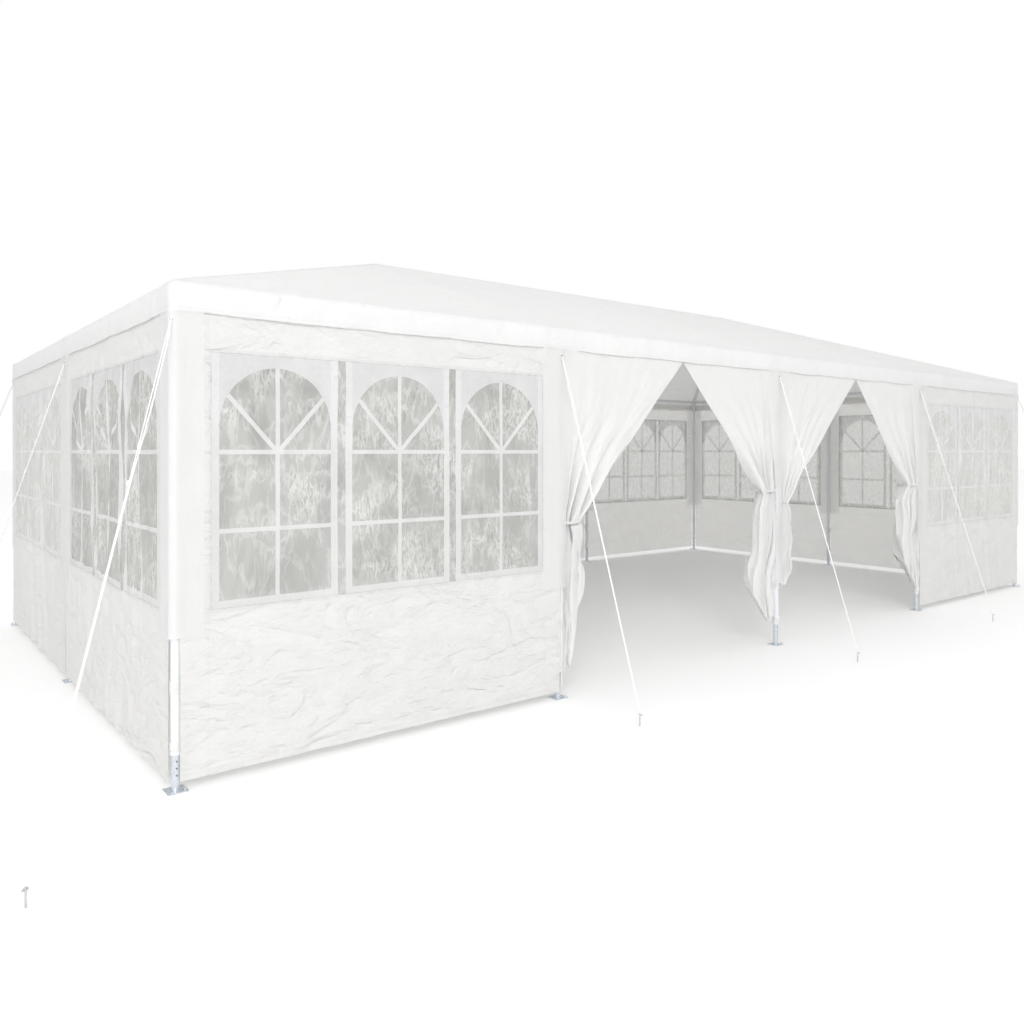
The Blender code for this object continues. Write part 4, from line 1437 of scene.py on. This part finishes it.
@dataclass
class Frame:
    """The steel tubes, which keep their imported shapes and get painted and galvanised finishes."""

    finishes: Finishes
    legs: list[Leg] = field(default_factory=list)

    def dress(self) -> None:
        """Gives each packed tube its finish, and the legs their loops of strap."""
        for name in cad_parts:
            if name.startswith("leg_"):
                self.paint(name, self.finishes.legs)
            elif name.startswith(("eave_rail", "roof_rafters", "ridge_tube")):
                self.paint(name, self.finishes.tubes)
        for leg in self.legs:
            self.loops(leg)

    def paint(self, name: str, material: bpy.types.Material) -> None:
        """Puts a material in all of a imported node's slots."""
        for slot in bpy.data.objects[name].material_slots:
            slot.material = material

    def loops(self, leg: Leg) -> None:
        """The strap loops that hold the wall edges to a leg below its cover."""
        made = []
        angle = np.linspace(0.0, math.tau, 33)[None, :]
        towards_sheet = np.maximum(np.cos(angle - leg.turn + math.pi / 2), 0.0)
        radius = 0.0204 + 0.0042 * towards_sheet + 0.0005 * np.sin(3 * angle + leg.x)
        for height, half in ((0.18, 0.014), (0.41, 0.024)):
            rise = np.linspace(-half, half, 5)[:, None]
            points = np.stack(np.broadcast_arrays(leg.x + radius * np.cos(angle), leg.y + radius * np.sin(angle), height + rise), axis=-1)
            made.append(cloth_grid(points, np.stack(np.broadcast_arrays(angle * 0.02, rise), axis=-1)))
        straps = join(made, weld=0.00005)
        thicken(straps, 0.001)
        finish_piece(straps, f"leg_straps_{leg.name}", [self.finishes.cover])


@dataclass
class Stage:
    """The pale floor, the soft light and the camera of the photograph."""

    camera_place: tuple[float, float, float] = (-4.999, -5.395, 1.334)
    camera_turn: float = 38.32
    focal_pixels: float = 835.9
    horizon_row: float = 451.0
    frame_pixels: float = 1024.0

    def floor(self) -> None:
        """A wide pale floor under the tent."""
        clear_selection()
        bpy.ops.mesh.primitive_plane_add(size=120.0, location=(0.0, 0.0, 0.0))
        floor = bpy.context.object
        floor.name = "studio_floor"
        recipe = Recipe("studio_floor")
        place = recipe.own_place()
        recipe.feed(recipe.shader.inputs["Base Color"], recipe.blend(recipe.noise(place, 0.8, 2.0), (0.95, 0.95, 0.95, 1), (0.97, 0.97, 0.97, 1)))
        recipe.shader.inputs["Roughness"].default_value = 0.9
        recipe.shader.inputs["Specular IOR Level"].default_value = 0.1
        floor.data.materials.append(recipe.material)

    def light(self, place: tuple[float, float, float], aim: tuple[float, float, float], size: float, power: float) -> None:
        """Adds one large soft light."""
        clear_selection()
        turn = (Vector(aim) - Vector(place)).to_track_quat("-Z", "Y").to_euler()
        bpy.ops.object.light_add(type="AREA", location=place, rotation=turn)
        lamp = bpy.context.object
        lamp.data.shape = "DISK"
        lamp.data.size = size
        lamp.data.energy = power

    def sky(self) -> None:
        """An even white surrounding."""
        scene = bpy.context.scene
        scene.world = bpy.data.worlds.new("studio")
        scene.world.use_nodes = True
        background = scene.world.node_tree.nodes["Background"]
        background.inputs["Color"].default_value = (1.0, 1.0, 1.0, 1.0)
        background.inputs["Strength"].default_value = 1.0
        scene.view_settings.view_transform = "Standard"

    def camera(self) -> None:
        """The photograph's camera: level, with the frame shifted down."""
        clear_selection()
        turn = (math.pi / 2, 0.0, -math.radians(self.camera_turn))
        bpy.ops.object.camera_add(location=self.camera_place, rotation=turn)
        camera = bpy.context.object
        camera.data.sensor_width = 36.0
        camera.data.lens = self.focal_pixels / self.frame_pixels * 36.0
        camera.data.shift_y = (self.horizon_row - self.frame_pixels / 2) / self.frame_pixels
        camera.data.dof.use_dof = False
        bpy.context.scene.camera = camera

    def build(self) -> None:
        """Sets the whole stage."""
        self.camera()
        self.floor()
        self.sky()
        self.light((-10.0, -12.5, 7.5), (0.0, 0.0, 1.0), 9.0, 985.0)
        LOG.info("stage set")


@dataclass
class Marquee:
    """The whole dressed tent."""

    finishes: Finishes = field(default_factory=Finishes.make)

    def legs(self) -> list[Leg]:
        """The twelve legs. A door leg's cover narrows towards its ties."""
        found = []
        for i in range(5):
            x = -HALF_LENGTH + BAY * i
            end = {0: -1, 4: 1}.get(i, 0)
            corner = bool(end)
            doors = {1: {"right_narrow": 0.035}, 2: {"left_narrow": 0.032, "right_narrow": 0.032, "cover_end": 0.43}, 3: {"left_narrow": 0.035}}.get(i, {})
            found.append(Leg(f"front_{i + 1}", x, -HALF_WIDTH, end * math.pi / 4, corner, **doors))
            found.append(Leg(f"back_{i + 1}", x, HALF_WIDTH, math.pi - end * math.pi / 4, corner))
        found.append(Leg("left_1", -HALF_LENGTH, 0.0, -math.pi / 2, cover_end=0.45))
        found.append(Leg("right_1", HALF_LENGTH, 0.0, math.pi / 2))
        return found

    def walls(self) -> list[WindowWall]:
        """The ten window walls. Those on the left and in the far front bay hang slacker."""
        return [
            WindowWall(Side.FRONT, 1, self.finishes, slack=0.005, seed=3),
            WindowWall(Side.FRONT, 4, self.finishes, slack=0.012, seed=4, fold_width=0.26, hazy=True),
            WindowWall(Side.LEFT, 1, self.finishes, slack=0.014, seed=5, fold_width=0.3, hazy=True),
            WindowWall(Side.LEFT, 2, self.finishes, slack=0.014, seed=6, fold_width=0.3),
            WindowWall(Side.RIGHT, 1, self.finishes, slack=0.008, seed=7),
            WindowWall(Side.RIGHT, 2, self.finishes, slack=0.008, seed=8),
            *(WindowWall(Side.BACK, bay, self.finishes, slack=0.007, seed=8 + bay) for bay in range(1, 5)),
        ]

    def curtains(self) -> list[DoorCurtain]:
        """The four door curtains."""
        drapes = {
            "left_door_curtain_left": (-2.0, 1, Drape(0.94, 0.12, (0.145, 0.86), (0.10, 0.45), (0.04, 0.06), 0.08, 41, beside_leg=0.002)),
            "left_door_curtain_right": (0.0, -1, Drape(1.06, 0.18, (0.26, 0.95), (0.30, 0.37), (0.13, 0.17), 0.28, 42)),
            "right_door_curtain_left": (0.0, 1, Drape(0.98, 0.10, (0.14, 0.88), (0.125, 0.52), (0.05, 0.35), 0.40, 43)),
            "right_door_curtain_right": (2.0, -1, Drape(1.05, 0.20, (0.33, 0.93), (0.27, 0.42), (0.07, 0.20), 0.30, 44, beside_leg=0.002)),
        }
        return [DoorCurtain(name, x, reach, drape, self.finishes) for name, (x, reach, drape) in drapes.items()]

    def build(self) -> None:
        """Builds the tent from the top down."""
        Canopy(self.finishes.roof).build()
        for wall in self.walls():
            wall.build()
        for curtain in self.curtains():
            curtain.build()
        legs = self.legs()
        for leg in legs:
            LegCover(leg, self.finishes).build()
            GuyRope(leg, self.finishes).build()
        Frame(self.finishes, legs).dress()


def write_sizes() -> None:
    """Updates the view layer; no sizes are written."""
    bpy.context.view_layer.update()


def main() -> None:
    """Sets the stage and builds the tent."""
    logging.basicConfig(level=logging.INFO, format="%(message)s")
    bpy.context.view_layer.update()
    Stage().build()
    Marquee().build()
    clear_selection()
    write_sizes()


if __name__ == "__main__":
    main()
